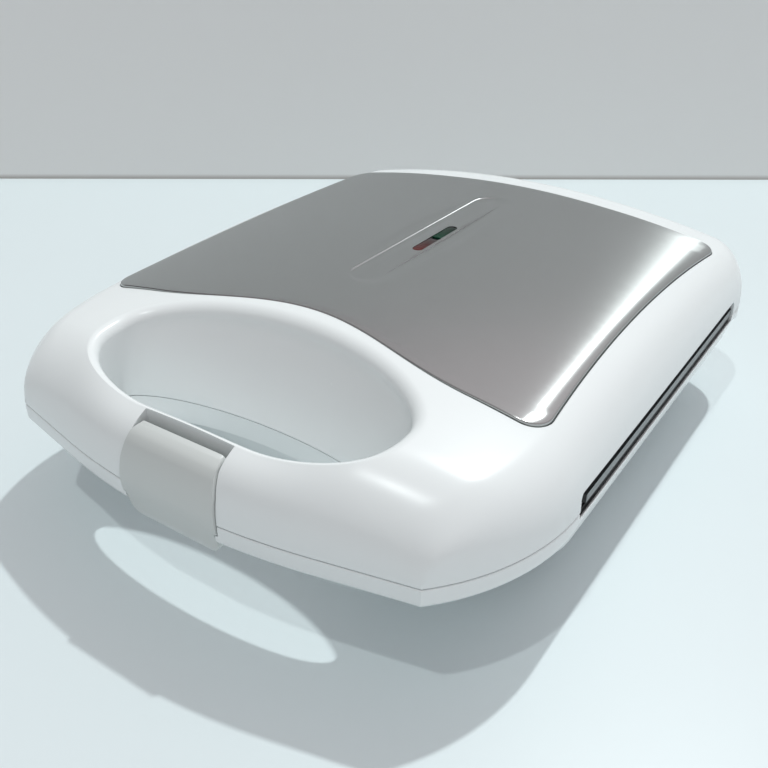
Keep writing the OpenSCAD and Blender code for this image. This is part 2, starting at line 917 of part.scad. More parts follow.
function cover_outline(e = 0) =
    let(r = cover_corner_r - e,
        yf = cover_front_edge(100) + cover_corner_r,
        yr = cover_rear_edge(107) - cover_corner_r,
        xf = cover_half(yf) - cover_corner_r,
        xr = cover_half(yr) - cover_corner_r)
    mirrored(concat(
        [for (i = [0:8]) [xf * i / 9, cover_front_edge(xf * i / 9) + e]],
        [for (i = [0:4]) [xf + r * sin(22.5 * i), yf - r * cos(22.5 * i)]],
        [for (i = [1:7]) let(y = mix(yf, yr, i / 8)) [cover_half(y) - e, y]],
        [for (i = [0:4]) [xr + r * cos(22.5 * i), yr + r * sin(22.5 * i)]],
        [for (i = [1:5]) [xr * (1 - i / 5), cover_rear_edge(xr * (1 - i / 5)) - e]]
    ));

// Rings from the rim of a crowned face to its middle
crown_steps = [0.88, 0.7, 0.5, 0.3, 0.08];
function inward(plan, lift, mid) = [for (s = crown_steps) on_crown(shrunk(plan, s, mid), lift)];
function outward(plan, lift, mid) =
    [for (i = [len(crown_steps) - 1:-1:0]) on_crown(shrunk(plan, crown_steps[i], mid), lift)];

module crowned(plan, top, bottom, mid) {
    loft(concat(
        outward(plan, bottom, mid),
        [on_crown(plan, bottom), on_crown(plan, top)],
        inward(plan, top, mid)
    ));
}

function stadium_points(w, l, yc) = [
    for (s = [-1, 1]) for (i = [0:8])
        let(a = 22.5 * i + (s < 0 ? 180 : 0))
        [w / 2 * cos(a), yc + s * (l - w) / 2 + w / 2 * sin(a)]
];

function channel_plan(e) = stadium_points(channel_w + 2 * e, channel_l + 2 * e, channel_y);

module steel_cover() {
    plan = cover_outline();
    under = cover_lift - sheet_t;
    color("#9a9a96")
    difference() {
        union() {
            loft(concat(
                outward(plan, under, cover_mid),
                [
                    on_crown(shrunk(plan, 0.985, cover_mid), under),
                    on_crown(shrunk(plan, 0.985, cover_mid), -edge_turn),
                    on_crown(plan, -edge_turn),
                    on_crown(plan, cover_lift - 0.4),
                    on_crown(shrunk(plan, 0.996, cover_mid), cover_lift)
                ],
                inward(plan, cover_lift, cover_mid)
            ));
            crowned(channel_plan(sheet_t), cover_lift - sheet_t / 2, under - channel_d, channel_y);
        }
        crowned(channel_plan(0), cover_lift + 6, cover_lift - channel_d, channel_y);
        translate([0, window_y, top_z - 20])
            linear_extrude(40)
                stadium(window_w + 2 * fit, window_l + 2 * fit);
    }
}

// What the cover takes out of the lid: its bed, its turned edge and its channel
module cover_seat() {
    plan = cover_outline(-0.5);
    bed = cover_lift - sheet_t - fit;
    depth = -edge_turn - 0.3;
    loft(concat(
        outward(plan, bed, cover_mid),
        [
            on_crown(shrunk(plan, 0.975, cover_mid), bed),
            on_crown(shrunk(plan, 0.975, cover_mid), depth),
            on_crown(plan, depth),
            at_height(plan, top_z + 4)
        ]
    ));
    crowned(channel_plan(sheet_t + 0.3), 1, bed - channel_d, channel_y);
}

// ---- Signal lights ----

window_top = crown(0, window_y) + cover_lift - channel_d + 0.3;

module light_bezel() {
    color("#1a1a1a")
    translate([0, window_y, window_top - 6])
        difference() {
            linear_extrude(6)
                stadium(window_w, window_l);
            for (s = [-1, 1])
                translate([0, 0, -1])
                    linear_extrude(8)
                        lens_shape(s, bezel_w);
        }
}

// Half of the window, with one round end
module lens_shape(s, e) {
    half_bar = 0.45;
    intersection() {
        stadium(window_w - 2 * e, window_l - 2 * e);
        translate([0, s * (window_l / 4 + half_bar + e - bezel_w)])
            square([window_w, window_l / 2], center = true);
    }
}

module lens(s) {
    translate([0, window_y, window_top - 5])
        linear_extrude(5.2)
            lens_shape(s, bezel_w + 0.05);
}

module red_lens() {
    color("#7a1414")
    lens(-1);
}

module green_lens() {
    color("#0f5a40")
    lens(1);
}

// Black box under the window, which keeps the light of the two lamps apart
module lamp_holder() {
    holder_z = window_top - 15.4;
    holder_h = crown(8, window_y + window_l / 2 + 4) - wall - 0.1 - holder_z;
    color("#2a2a2a")
    translate([0, window_y, holder_z])
        difference() {
            translate([-8, -window_l / 2 - 4, 0])
                cube([16, window_l + 8, holder_h]);
            for (s = [-1, 1])
                translate([-3.2, s * window_l / 4 - window_l / 4 + 1.2, 1.6])
                    cube([6.4, window_l / 2 - 2.4, 7.7]);
            translate([0, 0, 9.2])
                linear_extrude(10)
                    stadium(window_w + 2 * fit, window_l + 2 * fit);
        }
}

module neon_lamps() {
    color("#f0c8a0")
    for (s = [-1, 1])
        translate([0, window_y + s * window_l / 4, window_top - 10.4])
            rotate([90, 0, 0]) {
                cylinder(r = 2.4, h = 10, center = true);
                translate([0, 0, 5])
                    sphere(2.4);
            }
}

module upper_plate() {
    color("#8d8f90")
    difference() {
        upper_place()
            cooking_plate(plate_w, plate_l);
        translate([0, plate_y, upper_face])
            four_places(flange_screw_x, flange_screw_y) {
                translate([0, 0, -1])
                    cylinder(r = 1.6, h = flange_t + 2);
                translate([0, 0, -eps])
                    cylinder(r1 = 3.1, r2 = 1.6, h = 1.7);
            }
    }
}

module upper_element() {
    color("#8a8378")
    upper_place()
        element();
}

module upper_heat_shield() {
    color("#c9ccce")
    difference() {
        upper_place()
            heat_shield();
        for (x = [-1, 1])
            for (y = pillar_rows)
                translate([x * pillar_x, plate_y + y, shield_top - 2])
                    cylinder(r = screw_r + 0.3, h = 4);
    }
}

// Hold the upper heat shield to the lid's pillars
module lid_screws() {
    color("silver")
    for (x = [-1, 1])
        for (y = pillar_rows)
            translate([x * pillar_x, plate_y + y, shield_top - shield_t - head_h])
                screw(screw_r, 8.6, 4, head_h);
}

// Countersunk, through the corners of the upper plate's flange
module plate_screws() {
    color("silver")
    translate([0, plate_y, upper_face])
        four_places(flange_screw_x, flange_screw_y)
            rotate_extrude()
                polygon([[0, 0.2], [2.8, 0.2], [1.45, 1.6], [1.45, flange_t + 8], [0, flange_t + 8]]);
}

module thermostat() {
    color("#cfcac0")
    upper_place()
        translate([0, 0, -plate_depth - 8]) {
            cylinder(r = 7.5, h = 8);
            translate([0, 0, -3])
                cylinder(r = 2, h = 3.5);
        }
}

module thermal_fuse() {
    color("#d8c890")
    translate([0, plate_y + 30, shield_top + 2])
        rotate([0, 90, 0])
            cylinder(r = 2, h = 16, center = true);
}

// ---- Hinge and latch ----

module hinge_pins() {
    color("silver")
    hinge_places()
        rotate([0, 90, 0])
            cylinder(r = hinge_pin_r, h = pin_l - 0.4, center = true);
}

module latch_pin() {
    color("silver")
    translate([0, latch_pin_y, latch_pin_z])
        rotate([0, 90, 0])
            cylinder(r = latch_pin_r, h = 2 * recess_half + 6, center = true);
}

function bend(x, z, r, from) =
    [for (a = [0, 30, 60, 90]) [x + r * cos(from + a), z + r * sin(from + a)]];

// The latch from in front, grown by e: a narrow foot below, wider above and
// tapering to the top, which is rounded unless a plain height is given.
// Heights are from the joint.
function latch_outline(e, top = 0) =
    let(foot = latch_half - 3,
        tip = latch_half - 2.3)
    concat(
        bend(foot - 6, -10, 6 + e, -90),
        [[foot + e, -4.2 - e], [latch_half + e, -3.8 - e], [latch_half + e, 2]],
        [[latch_half - 0.6 + e, 12]],
        top > 0 ? [[tip + e, 21], [tip + e, top]] : bend(tip - 3.4, 20.9, 3.4, 0)
    );

module latch_front(e, top = 0) {
    half = latch_outline(e, top);
    polygon(concat(half, [for (i = [len(half) - 1:-1:0]) [-half[i].x, half[i].y]]));
}

// Room for the latch in the front of base and lid, back to y
module latch_space(y, top) {
    translate([0, y, split_z])
        rotate([90, 0, 0])
            linear_extrude(y - front_y + 1)
                latch_front(free, top);
}

// Sections of the latch, as [distance behind the front edge, height above the joint]
latch_shell = [
    [0.3, -5], [0, 0], [0.1, 3], [0.6, 7], [1.6, 12], [3, 16], [4.6, 19.2], [6.8, 21.8], [9.6, 23.4],
    [12.6, 24.2], [12.9, 22.6], [10.4, 21.6], [8.4, 20], [7.1, 16], [6.1, 11], [5, 5], [4.6, -5]
];

module latch() {
    under = -strip_h - 0.6;
    tip = notch_y - front_y + hook_reach;
    hook = [
        [2.4, -3], [2.4, -13.4], [3.8, -15.8], [tip - 1.6, -15.8],
        [tip, -13.8], [tip, under], [5.3, under], [5.3, -3]
    ];
    color("#d9d7d0")
    difference() {
        union() {
            intersection() {
                translate([0, front_y, split_z])
                    rotate([90, 0, 90])
                        linear_extrude(2 * latch_w, center = true) {
                            polygon(latch_shell);
                            polygon(hook);
                        }
                translate([0, front_y + 30, split_z])
                    rotate([90, 0, 0])
                        linear_extrude(40)
                            latch_front(0);
            }
            // the barrel that turns on the pin
            translate([0, latch_pin_y, latch_pin_z])
                rotate([0, 90, 0])
                    cylinder(r = latch_pin_r + 2, h = 2 * barrel_half, center = true);
            translate([-barrel_half, front_y + 3.4, latch_pin_z - 2])
                cube([2 * barrel_half, latch_pin_y - front_y - 3.4, 4]);
        }
        translate([0, latch_pin_y, latch_pin_z])
            rotate([0, 90, 0])
                cylinder(r = latch_pin_r + run, h = latch_w + 2, center = true);
    }
}

base_shell();
lower_plate();
lower_element();
lower_heat_shield();
base_screws();
feet();
terminal_block();
cord_inlet();
lid_cover();
handle_liner();
liner_screws();
steel_cover();
light_bezel();
red_lens();
green_lens();
neon_lamps();
lamp_holder();
upper_plate();
upper_element();
upper_heat_shield();
lid_screws();
plate_screws();
thermostat();
thermal_fuse();
hinge_pins();
latch_pin();
latch();
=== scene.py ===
"""Sandwich toaster: the pieces that show, their finishes, and the table it stands on."""
import math

import bmesh
import bpy
from mathutils import Matrix, Vector
from mathutils.geometry import delaunay_2d_cdt


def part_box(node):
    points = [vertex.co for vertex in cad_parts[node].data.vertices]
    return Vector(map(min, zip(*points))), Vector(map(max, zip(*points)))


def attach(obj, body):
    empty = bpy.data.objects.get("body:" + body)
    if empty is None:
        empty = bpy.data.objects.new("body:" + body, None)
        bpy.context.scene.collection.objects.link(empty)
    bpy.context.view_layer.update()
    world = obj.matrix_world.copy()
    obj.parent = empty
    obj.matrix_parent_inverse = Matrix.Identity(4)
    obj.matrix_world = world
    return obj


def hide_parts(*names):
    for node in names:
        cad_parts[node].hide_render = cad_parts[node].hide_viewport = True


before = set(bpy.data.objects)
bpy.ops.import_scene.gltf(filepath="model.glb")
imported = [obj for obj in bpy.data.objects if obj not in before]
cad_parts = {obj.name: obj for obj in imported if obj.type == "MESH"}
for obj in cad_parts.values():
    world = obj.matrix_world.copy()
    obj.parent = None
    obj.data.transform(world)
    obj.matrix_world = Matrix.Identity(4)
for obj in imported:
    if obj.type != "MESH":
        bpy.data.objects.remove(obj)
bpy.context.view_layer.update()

MM = 0.001

# ---- Sizes in millimetres: x across, y from the handle to the hinge, z up from the table ----

# The housing, and its joint
HALF_W = 133.9
FRONT_Y = -165.0
REAR_Y = 165.0
TOP_Z = 104.0
SPLIT_Z = 56.0
LID_Z0 = 56.4
FLOOR_Z = 9.0
WALL = 3.2
JOINT_EDGE = 0.35  # how far the edges at the joint are set in

# The lid's crown and shoulders, and the outline with its pointed front corners
CROWN_SIDE_R = 524.0
CROWN_LONG_R = 1606.0
CROWN_Y = 31.0
SHOULDER_W = 20.0
SHOULDER_POWER = 2.4
NOSE_W = 33.0
NOSE_POWER = 2
CORNER_BLEND = 4
NOSE_R = 310.0
WING = math.radians(12)
SIDE_R = 95.0
SIDE_Y = -82.0
CORNER_R = 31.0
NOSE_X = NOSE_R * math.sin(WING)
NOSE_Y = FRONT_Y + NOSE_R * (1 - math.cos(WING))

# The handle's bar, with the finger hole behind it
HOLE_HALF_W = 75.0
HOLE_HALF_L = 21.7
HOLE_POWER = 2.8
BAR_L = 19.5
BAR_DROP = 6.0
DROP_START = 28.0
DROP_END = 73.0
DROP_RISE = 19.0
DROP_REAR = 29.0
DROP_FADE = 26.0
HOLE_Y = FRONT_Y + BAR_L + HOLE_HALF_L
RIM_HALF_W = 76.0
RIM_HALF_L = 31.7
RIM_Y = FRONT_Y + BAR_L + RIM_HALF_L
RIM_BACK_R = 7.0
RIM_FRONT_R = 3.0
SKIRT_H = 10.4
LOW_HALF_L = 14.6  # the hole's front half where the bar swells below the joint
LOW_NARROWING = 0.09

# The cast plates, their flanges, and the slots at the sides that show them
SLOT_H = 8.7
SLOT_FRONT = -81.0
SLOT_REAR = 124.0
SLOT_MID = (SLOT_FRONT + SLOT_REAR) / 2
SLOT_CUT_H = 20.0
SLOT_CUT_R = 3.0
PLATE_Y = SLOT_MID - 1
OPENING_W = 240.0
OPENING_L = 198.0
OPENING_R = 10.0
FLANGE_X = 132.9
# a black-coated rim on the lower casting, put into the base's groove so that the groove shows dark: it stands
# in for the shade in the gap
SHADE_RIM_X = (131.5, 132.35)
SHADE_RIM_Z = (SPLIT_Z - 4.4, SPLIT_Z - 1)
FLANGE_END_X = 122.0
FLANGE_END_Y = (SLOT_REAR - 14, SLOT_REAR - 0.3)
UPPER_END_X = 130.95
UPPER_END_Z = (60.85, 64.65)
LOWER_END_Z = (SPLIT_Z + 0.05, SPLIT_Z + 3.95)
GROOVE = (131.2, 133.3, SPLIT_Z - 4.6)  # inner and outer x, and the height left
LOW_LIP = (133.2, 135.0, SPLIT_Z - 3.1)

# The base
LIP_H = 5.2
STRIP_H = 8.6
STRIP_REAR = -96.0
STRIP_FADE = 40.0
HINGE_DROP = 4.8
HINGE_DROP_Y = 128.0
HINGE_DROP_FADE = 16.0
DISH_W = 36.0
DISH_FRONT = 63.0
DISH_SIDE = 2.4
DISH_REAR = 3.0
DISH_CORNER_R = 26.0
FOOT_X = 78
FOOT_Y = (-32, 106)
FOOT_SEAT_R = 10.5
FOOT_HOLE_R = 7
VENT_X = 30
VENT_W = 3
VENT_L = 34
VENT_PITCH = 9
VENT_BACK = 8
CORD_Z = 29
CORD_R = 6

# The steel cover, its pressed channel and the window for the lights
COVER_HALF_W = 112.4
COVER_WAIST_R = 1207.0
COVER_WAIST_Y = 19.0
COVER_FRONT = 69.9
COVER_SWEEP = 13.6
COVER_SWEEP_X = 84.0
COVER_REAR = 132.0
COVER_REAR_BOW = 0.8
COVER_REAR_X = 107.0
COVER_CORNER_R = 9.5
COVER_MID = (COVER_REAR - COVER_FRONT) / 2
COVER_LIFT = 0.15
COVER_BED = 2.4
COVER_GAP = 0.5
SHEET_T = 0.7
SHEET_EDGE_R = 0.55
SHEET_TURN_H = 1.9
SWELL = 0.018  # the slope by which the sheet is flatter than the crown
SWELL_START = 25.0
SWELL_FULL = 62.0
TURN_DOWN = 0.0013
TURN_DOWN_X = 105.0
CHANNEL_L = 136.4
CHANNEL_W = 19.0
CHANNEL_D = 0.5
CHANNEL_Y = CROWN_Y + 0.5
CHANNEL_LEFT = 1.2
CHANNEL_RIGHT = 6.0
CHANNEL_TURN = 6.0
WINDOW_L = 38.4
WINDOW_W = 5.2
WINDOW_X = 3.3
WINDOW_Y = 25.9
WINDOW_GAP = 0.3
BAR_HALF = 1.5  # half of the bar between the two lenses
LENS_DROP = 0.25
FRAME_DROP = 1.2
FRAME_GROWN = 0.24
LENS_H = 5.0
LENS_L = 17.0

# The hinge and the latch
HINGE_X = 84.0
HINGE_Y = 157.0
HINGE_Z = 61.6
LUG_R = 5.7
LUG_W = 10.0
LUG_GAP = 0.8
LUG_RISE = 1.4  # more room above the lugs, where the lid swings over them
LUG_STEM_H = 18.0
LUG_HOLE_R = 2.56
LUG_HOLE_HALF = 9.0
HINGE_FILL = (131.0, 134.0, 73.6)  # half width, front and top
LATCH_HALF = 25.2
LATCH_FOOT = LATCH_HALF - 1.4
LATCH_TIP = LATCH_HALF - 2.3
LATCH_FOOT_R = 6.0
LATCH_TIP_R = 3.4
LATCH_GAP = 0.5
RECESS_Y = -148.3
RECESS_FILL_X = 30.0
NOTCH_Y = -159.0
LATCH_PIN_Y = -156.4
LATCH_PIN_Z = 68.6
LATCH_PIN_R = 1.5
LATCH_PIN_GAP = 0.06


def mix(a, b, t):
    return a + (b - a) * t


def smooth(t):
    t = max(0.0, min(1.0, t))
    return t * t * (3 - 2 * t)


def both_sides(half):
    """A closed outline from its right half."""
    return half + [(-x, y) for x, y in half[-2:0:-1]]


# ---- Outline and surface of the housing, set in by e ----


def front_edge(x, e=0.0):
    x = abs(x)
    if x < NOSE_X:
        return FRONT_Y + NOSE_R - math.sqrt(NOSE_R**2 - x * x) + e
    return NOSE_Y + (x - NOSE_X) * math.tan(WING) + e / math.cos(WING)


def half_width(y, e=0.0):
    if y < SIDE_Y:
        return HALF_W - SIDE_R + math.sqrt(max(0.0, (SIDE_R - e) ** 2 - (y - SIDE_Y) ** 2))
    if y > REAR_Y - CORNER_R:
        return HALF_W - CORNER_R + math.sqrt(max(0.0, (CORNER_R - e) ** 2 - (y - REAR_Y + CORNER_R) ** 2))
    return HALF_W - e


def front_corner_x(e):
    """Where the swept front edge meets the curved side."""
    m = math.tan(WING)
    cx = HALF_W - SIDE_R
    b = NOSE_Y + e / math.cos(WING) - m * NOSE_X - SIDE_Y
    p = (m * b - cx) / (1 + m * m)
    q = (cx * cx + b * b - (SIDE_R - e) ** 2) / (1 + m * m)
    return -p + math.sqrt(p * p - q)


def housing_outline(e=0.0):
    """Points round the housing, from the middle of the front over the right side to the back and round."""
    xc = front_corner_x(e)
    cx = HALF_W - SIDE_R
    turn = math.atan2(SIDE_Y - front_edge(xc, e), xc - cx)
    bx, by = HALF_W - CORNER_R, REAR_Y - CORNER_R
    half = [(xc * i / 34, front_edge(xc * i / 34, e)) for i in range(34)]
    for i in range(25):
        a = turn * (1 - i / 24)
        half.append((cx + (SIDE_R - e) * math.cos(a), SIDE_Y - (SIDE_R - e) * math.sin(a)))
    half += [(HALF_W - e, mix(SIDE_Y, by, i / 30)) for i in range(1, 30)]
    for i in range(17):
        a = math.radians(90 * i / 16)
        half.append((bx + (CORNER_R - e) * math.cos(a), by + (CORNER_R - e) * math.sin(a)))
    half += [(bx * (1 - i / 20), REAR_Y - e) for i in range(1, 21)]
    return both_sides(half)


def crown(x, y):
    return TOP_Z - x * x / (2 * CROWN_SIDE_R) - (y - CROWN_Y) ** 2 / (2 * CROWN_LONG_R)


def rounded(t, p):
    """Rises from 0 to 1 as the quarter of an oval, fuller where p is larger."""
    if t <= 0:
        return 0.0
    return 1.0 if t >= 1 else (1 - (1 - t) ** p) ** (1 / p)


def bar_dip(x, y, e):
    """The handle's bar is lower than the crown in its middle part."""
    return (
        BAR_DROP * smooth((y - front_edge(x, e) - 1) / DROP_RISE)
        * (1 - smooth((abs(x) - DROP_START) / (DROP_END - DROP_START)))
        * (1 - smooth((y - FRONT_Y - DROP_REAR) / DROP_FADE))
    )


def lid_z(x, y, e=0.0):
    side = rounded((half_width(y, e) - abs(x)) / SHOULDER_W, SHOULDER_POWER)
    front = rounded((y - front_edge(x, e)) / NOSE_W, NOSE_POWER)
    back = rounded((REAR_Y - e - y) / SHOULDER_W, SHOULDER_POWER)
    if min(side, front, back) < 1e-3:
        return LID_Z0
    k = CORNER_BLEND
    rise = (side**-k + front**-k + back**-k - 2) ** (-1 / k)
    return LID_Z0 + (crown(x, y) - e - LID_Z0) * rise - bar_dip(x, y, e)


def power(front):
    """The finger hole's front half is fuller than an ellipse, whose power is 2."""
    return HOLE_POWER if front else 2.0


def hole_ring(a, b, yc, angles):
    ring = []
    for t in angles:
        n = power(math.cos(t) > 0)
        reach = max(0.0, 1 - abs(math.sin(t)) ** n) ** (1 / n)
        ring.append((a * math.sin(t), yc - math.copysign(b * reach, math.cos(t))))
    return ring


def outward(ring, a, b, yc):
    """Direction square to the ring at each of its points."""
    directions = []
    for x, y in ring:
        n = power(y < yc)
        dx = math.copysign((abs(x) / a) ** (n - 1) / a, x)
        dy = math.copysign((abs(y - yc) / b) ** (n - 1) / b, y - yc)
        directions.append(Vector((dx, dy)).normalized())
    return directions


# ---- Meshes ----


def new_piece(name, mesh_build):
    mesh = bpy.data.meshes.new(name)
    mesh_build.to_mesh(mesh)
    mesh_build.free()
    piece = bpy.data.objects.new(name, mesh)
    bpy.context.scene.collection.objects.link(piece)
    return piece


def shell_from_rows(name, rows, closed=False, capped=True):
    """Skins rows of points of equal length. The rows close on each other, or get end caps."""
    build = bmesh.new()
    grid = [[build.verts.new(Vector(p) * MM) for p in row] for row in rows]
    n = len(rows[0])
    pairs = list(zip(grid, grid[1:])) + ([(grid[-1], grid[0])] if closed else [])
    for low, high in pairs:
        for j in range(n):
            k = (j + 1) % n
            build.faces.new((low[j], low[k], high[k], high[j]))
    if capped and not closed:
        for row in (grid[0], grid[-1]):
            middle = sum((v.co for v in row), Vector()) / n
            centre = build.verts.new(middle)
            for j in range(n):
                build.faces.new((row[(j + 1) % n], row[j], centre))
    bmesh.ops.recalc_face_normals(build, faces=build.faces)
    return new_piece(name, build)


def column(name, plan, *heights):
    """An outline skinned straight up through the heights."""
    return shell_from_rows(name, [[(x, y, z) for x, y in plan] for z in heights])


def block(name, low, high):
    build = bmesh.new()
    bmesh.ops.create_cube(build, size=1)
    size = (Vector(high) - Vector(low)) * MM
    middle = (Vector(high) + Vector(low)) * MM / 2
    bmesh.ops.scale(build, vec=size, verts=build.verts)
    bmesh.ops.translate(build, vec=middle, verts=build.verts)
    return new_piece(name, build)


def side_block(name, side, x, y, z):
    """A block on one side of the middle, from its near and far x, and its low and high y and z."""
    low, high = sorted((side * x[0], side * x[1]))
    return block(name, (low, y[0], z[0]), (high, y[1], z[1]))


def prism(name, plan, low, high, place=lambda a, b, h: (a, b, h)):
    """A flat outline drawn out from low to high. place turns (a, b, height) into (x, y, z)."""
    build = bmesh.new()
    ends = [[build.verts.new(Vector(place(a, b, h)) * MM) for a, b in plan] for h in (low, high)]
    for j in range(len(plan)):
        k = (j + 1) % len(plan)
        build.faces.new((ends[0][j], ends[0][k], ends[1][k], ends[1][j]))
    build.faces.new(ends[0][::-1])
    build.faces.new(ends[1])
    bmesh.ops.recalc_face_normals(build, faces=build.faces)
    return new_piece(name, build)


def rod(name, start, end, radius):
    """A round bar between two points, for a pin's hole or a lug."""
    axis = Vector(end) - Vector(start)
    turn = axis.to_track_quat("Z", "Y").to_matrix().to_4x4()
    build = bmesh.new()
    bmesh.ops.create_cone(
        build, cap_ends=True, segments=48, radius1=radius * MM, radius2=radius * MM, depth=axis.length * MM,
        matrix=Matrix.Translation((Vector(start) + Vector(end)) * MM / 2) @ turn,
    )
    return new_piece(name, build)


def cross_rod(name, x, half_l, y, z, radius):
    """A rod that lies across the toaster, half_l to each side of x."""
    return rod(name, (x - half_l, y, z), (x + half_l, y, z), radius)


def settle(piece):
    """Turns the piece's modifiers into mesh."""
    bpy.context.view_layer.update()
    mesh = bpy.data.meshes.new_from_object(piece.evaluated_get(bpy.context.evaluated_depsgraph_get()))
    piece.modifiers.clear()
    piece.data = mesh


def bevel(piece, width_mm):
    """Rounds the piece's true edges."""
    edge = piece.modifiers.new("edges", "BEVEL")
    edge.width = width_mm * MM
    edge.segments = 3
    edge.limit_method = "ANGLE"
    edge.angle_limit = math.radians(40)
    edge.use_clamp_overlap = True
    settle(piece)


def carve(piece, *tools, how="DIFFERENCE"):
    """Cuts the tools out of the piece, or joins or intersects them with it, and removes them."""
    for tool in tools:
        boolean = piece.modifiers.new("carve", "BOOLEAN")
        boolean.operation = how
        boolean.solver = "MANIFOLD"
        boolean.object = tool
        settle(piece)
        bpy.data.objects.remove(tool)
    return piece


def take_in(build, piece):
    """Adds the piece's mesh to a mesh that is being built, and removes the piece."""
    build.from_mesh(piece.data)
    bpy.data.objects.remove(piece)


def soften(piece, angle):
    """Smooth shading, with the true edges kept sharp."""
    for face in piece.data.polygons:
        face.use_smooth = True
    piece.data.set_sharp_from_angle(angle=math.radians(angle))


def rounded_corners(w, l, r):
    points = []
    for cx, cy, start in ((1, -1, -90), (1, 1, 0), (-1, 1, 90), (-1, -1, 180)):
        for i in range(9):
            a = math.radians(start + 90 * i / 8)
            points.append((cx * (w / 2 - r) + r * math.cos(a), cy * (l / 2 - r) + r * math.sin(a)))
    return points


def stadium(w, l, yc, xc=0.0):
    points = []
    for s in (-1, 1):
        for i in range(17):
            a = math.pi * i / 16 + (math.pi if s < 0 else 0)
            points.append((xc + w / 2 * math.cos(a), yc + s * (l - w) / 2 + w / 2 * math.sin(a)))
    return points


def from_stadium(x, y, w, l, yc, xc=0.0):
    """Distance outside a stadium's edge, negative inside."""
    dy = max(0.0, abs(y - yc) - (l - w) / 2)
    return math.hypot(x - xc, dy) - w / 2


# ---- Lid ----

# Every point of the housing's outline faces one point of the finger hole's rim.
OUTLINE = housing_outline()
RIM_ANGLES = [math.atan2(x / RIM_HALF_W, (RIM_Y - y) / RIM_HALF_L) for x, y in OUTLINE]


def low_ring():
    return hole_ring(HOLE_HALF_W, HOLE_HALF_L, HOLE_Y, RIM_ANGLES)


def rim_ring():
    """The rim's inner edge, and the direction away from the hole at each of its points."""
    rim = hole_ring(RIM_HALF_W, RIM_HALF_L, RIM_Y, RIM_ANGLES)
    return rim, outward(rim, RIM_HALF_W, RIM_HALF_L, RIM_Y)


def between(ring, other, t):
    return [(mix(a[0], b[0], t), mix(a[1], b[1], t)) for a, b in zip(ring, other)]


def moved_out(ring, away, distance):
    return [(p[0] + a.x * distance, p[1] + a.y * distance) for p, a in zip(ring, away)]


def hole_rows(low_z):
    """Rows of the finger hole's wall, from low_z up over its rolled rim, and the rim's outer edge."""
    low = low_ring()
    rim, away = rim_ring()
    rolls = [mix(RIM_FRONT_R, RIM_BACK_R, (1 - math.cos(a)) / 2) for a in RIM_ANGLES]
    edge = [(x + a.x * roll, y + a.y * roll) for (x, y), a, roll in zip(rim, away, rolls)]
    base = [lid_z(x, y) - roll for (x, y), roll in zip(edge, rolls)]
    foot_z = low_z + 0.5
    rows = [[(x, y, z) for x, y in low] for z in (low_z, foot_z)]
    for k in range(1, 9):
        t = k / 9
        rows.append([(x, y, mix(foot_z, b, t)) for (x, y), b in zip(between(low, rim, t), base)])
    for k in range(15):
        a = math.radians(90 * k / 14)
        ring = between(rim, edge, 1 - math.cos(a))
        rows.append([(x, y, b + roll * math.sin(a)) for (x, y), b, roll in zip(ring, base, rolls)])
    return rows, edge


def lid_skin():
    rows, edge = hole_rows(LID_Z0)
    # even steps over the top, finer towards the shoulders
    steps = [1 - (1 - k / 60) ** 1.25 for k in range(1, 61)]
    fine = [1 - (1 - steps[-2]) * f for f in (0.72, 0.5, 0.34, 0.22, 0.13, 0.07, 0.03, 0.01)]
    for s in steps[:-1] + fine:
        low = LID_Z0 + 0.55 + 5 * (1 - s)
        rows.append([(x, y, max(low, lid_z(x, y))) for x, y in between(edge, OUTLINE, s)])
    rows.append([(x, y, LID_Z0 + 0.5) for x, y in OUTLINE])
    # back under the wall, up inside it, and down round the hole
    rows.append([(x, y, LID_Z0) for x, y in housing_outline(JOINT_EDGE)])
    inside = housing_outline(WALL)
    rows.append([(x, y, LID_Z0) for x, y in inside])
    behind = moved_out(*rim_ring(), WALL)
    for s in (0.01, 0.03, 0.06, 0.1, 0.16, 0.26, 0.4, 0.6, 0.8, 1):
        ring = between(inside, behind, s)
        rows.append([(x, y, max(LID_Z0 + 1, lid_z(x, y, WALL) - 0.6)) for x, y in ring])
    low = low_ring()
    away = outward(low, HOLE_HALF_W, HOLE_HALF_L, HOLE_Y)
    rows.append([(x, y, LID_Z0) for x, y in moved_out(low, away, WALL)])
    return shell_from_rows("lid_shell", rows, closed=True)


def lid_blank(e):
    """The lid's outer form as a plain solid, set in by e."""
    plan = housing_outline(e)
    rows = []
    for s in (1, 0.998, 0.99, 0.97, 0.94, 0.9, 0.85, 0.7, 0.5, 0.2, 0.02):
        rows.append([(x * s, y * s, lid_z(x * s, y * s, e)) for x, y in plan])
    return shell_from_rows("lid_blank", rows)


def slot_space():
    """What the slots at both sides take out of the lid: one cut right across."""
    plan = rounded_corners(SLOT_REAR - SLOT_FRONT, SLOT_CUT_H, SLOT_CUT_R)
    z = SPLIT_Z + SLOT_H - SLOT_CUT_H / 2
    past = HALF_W + 16
    return prism("slot_space", plan, -past, past, lambda a, b, x: (x, SLOT_MID + a, z + b))


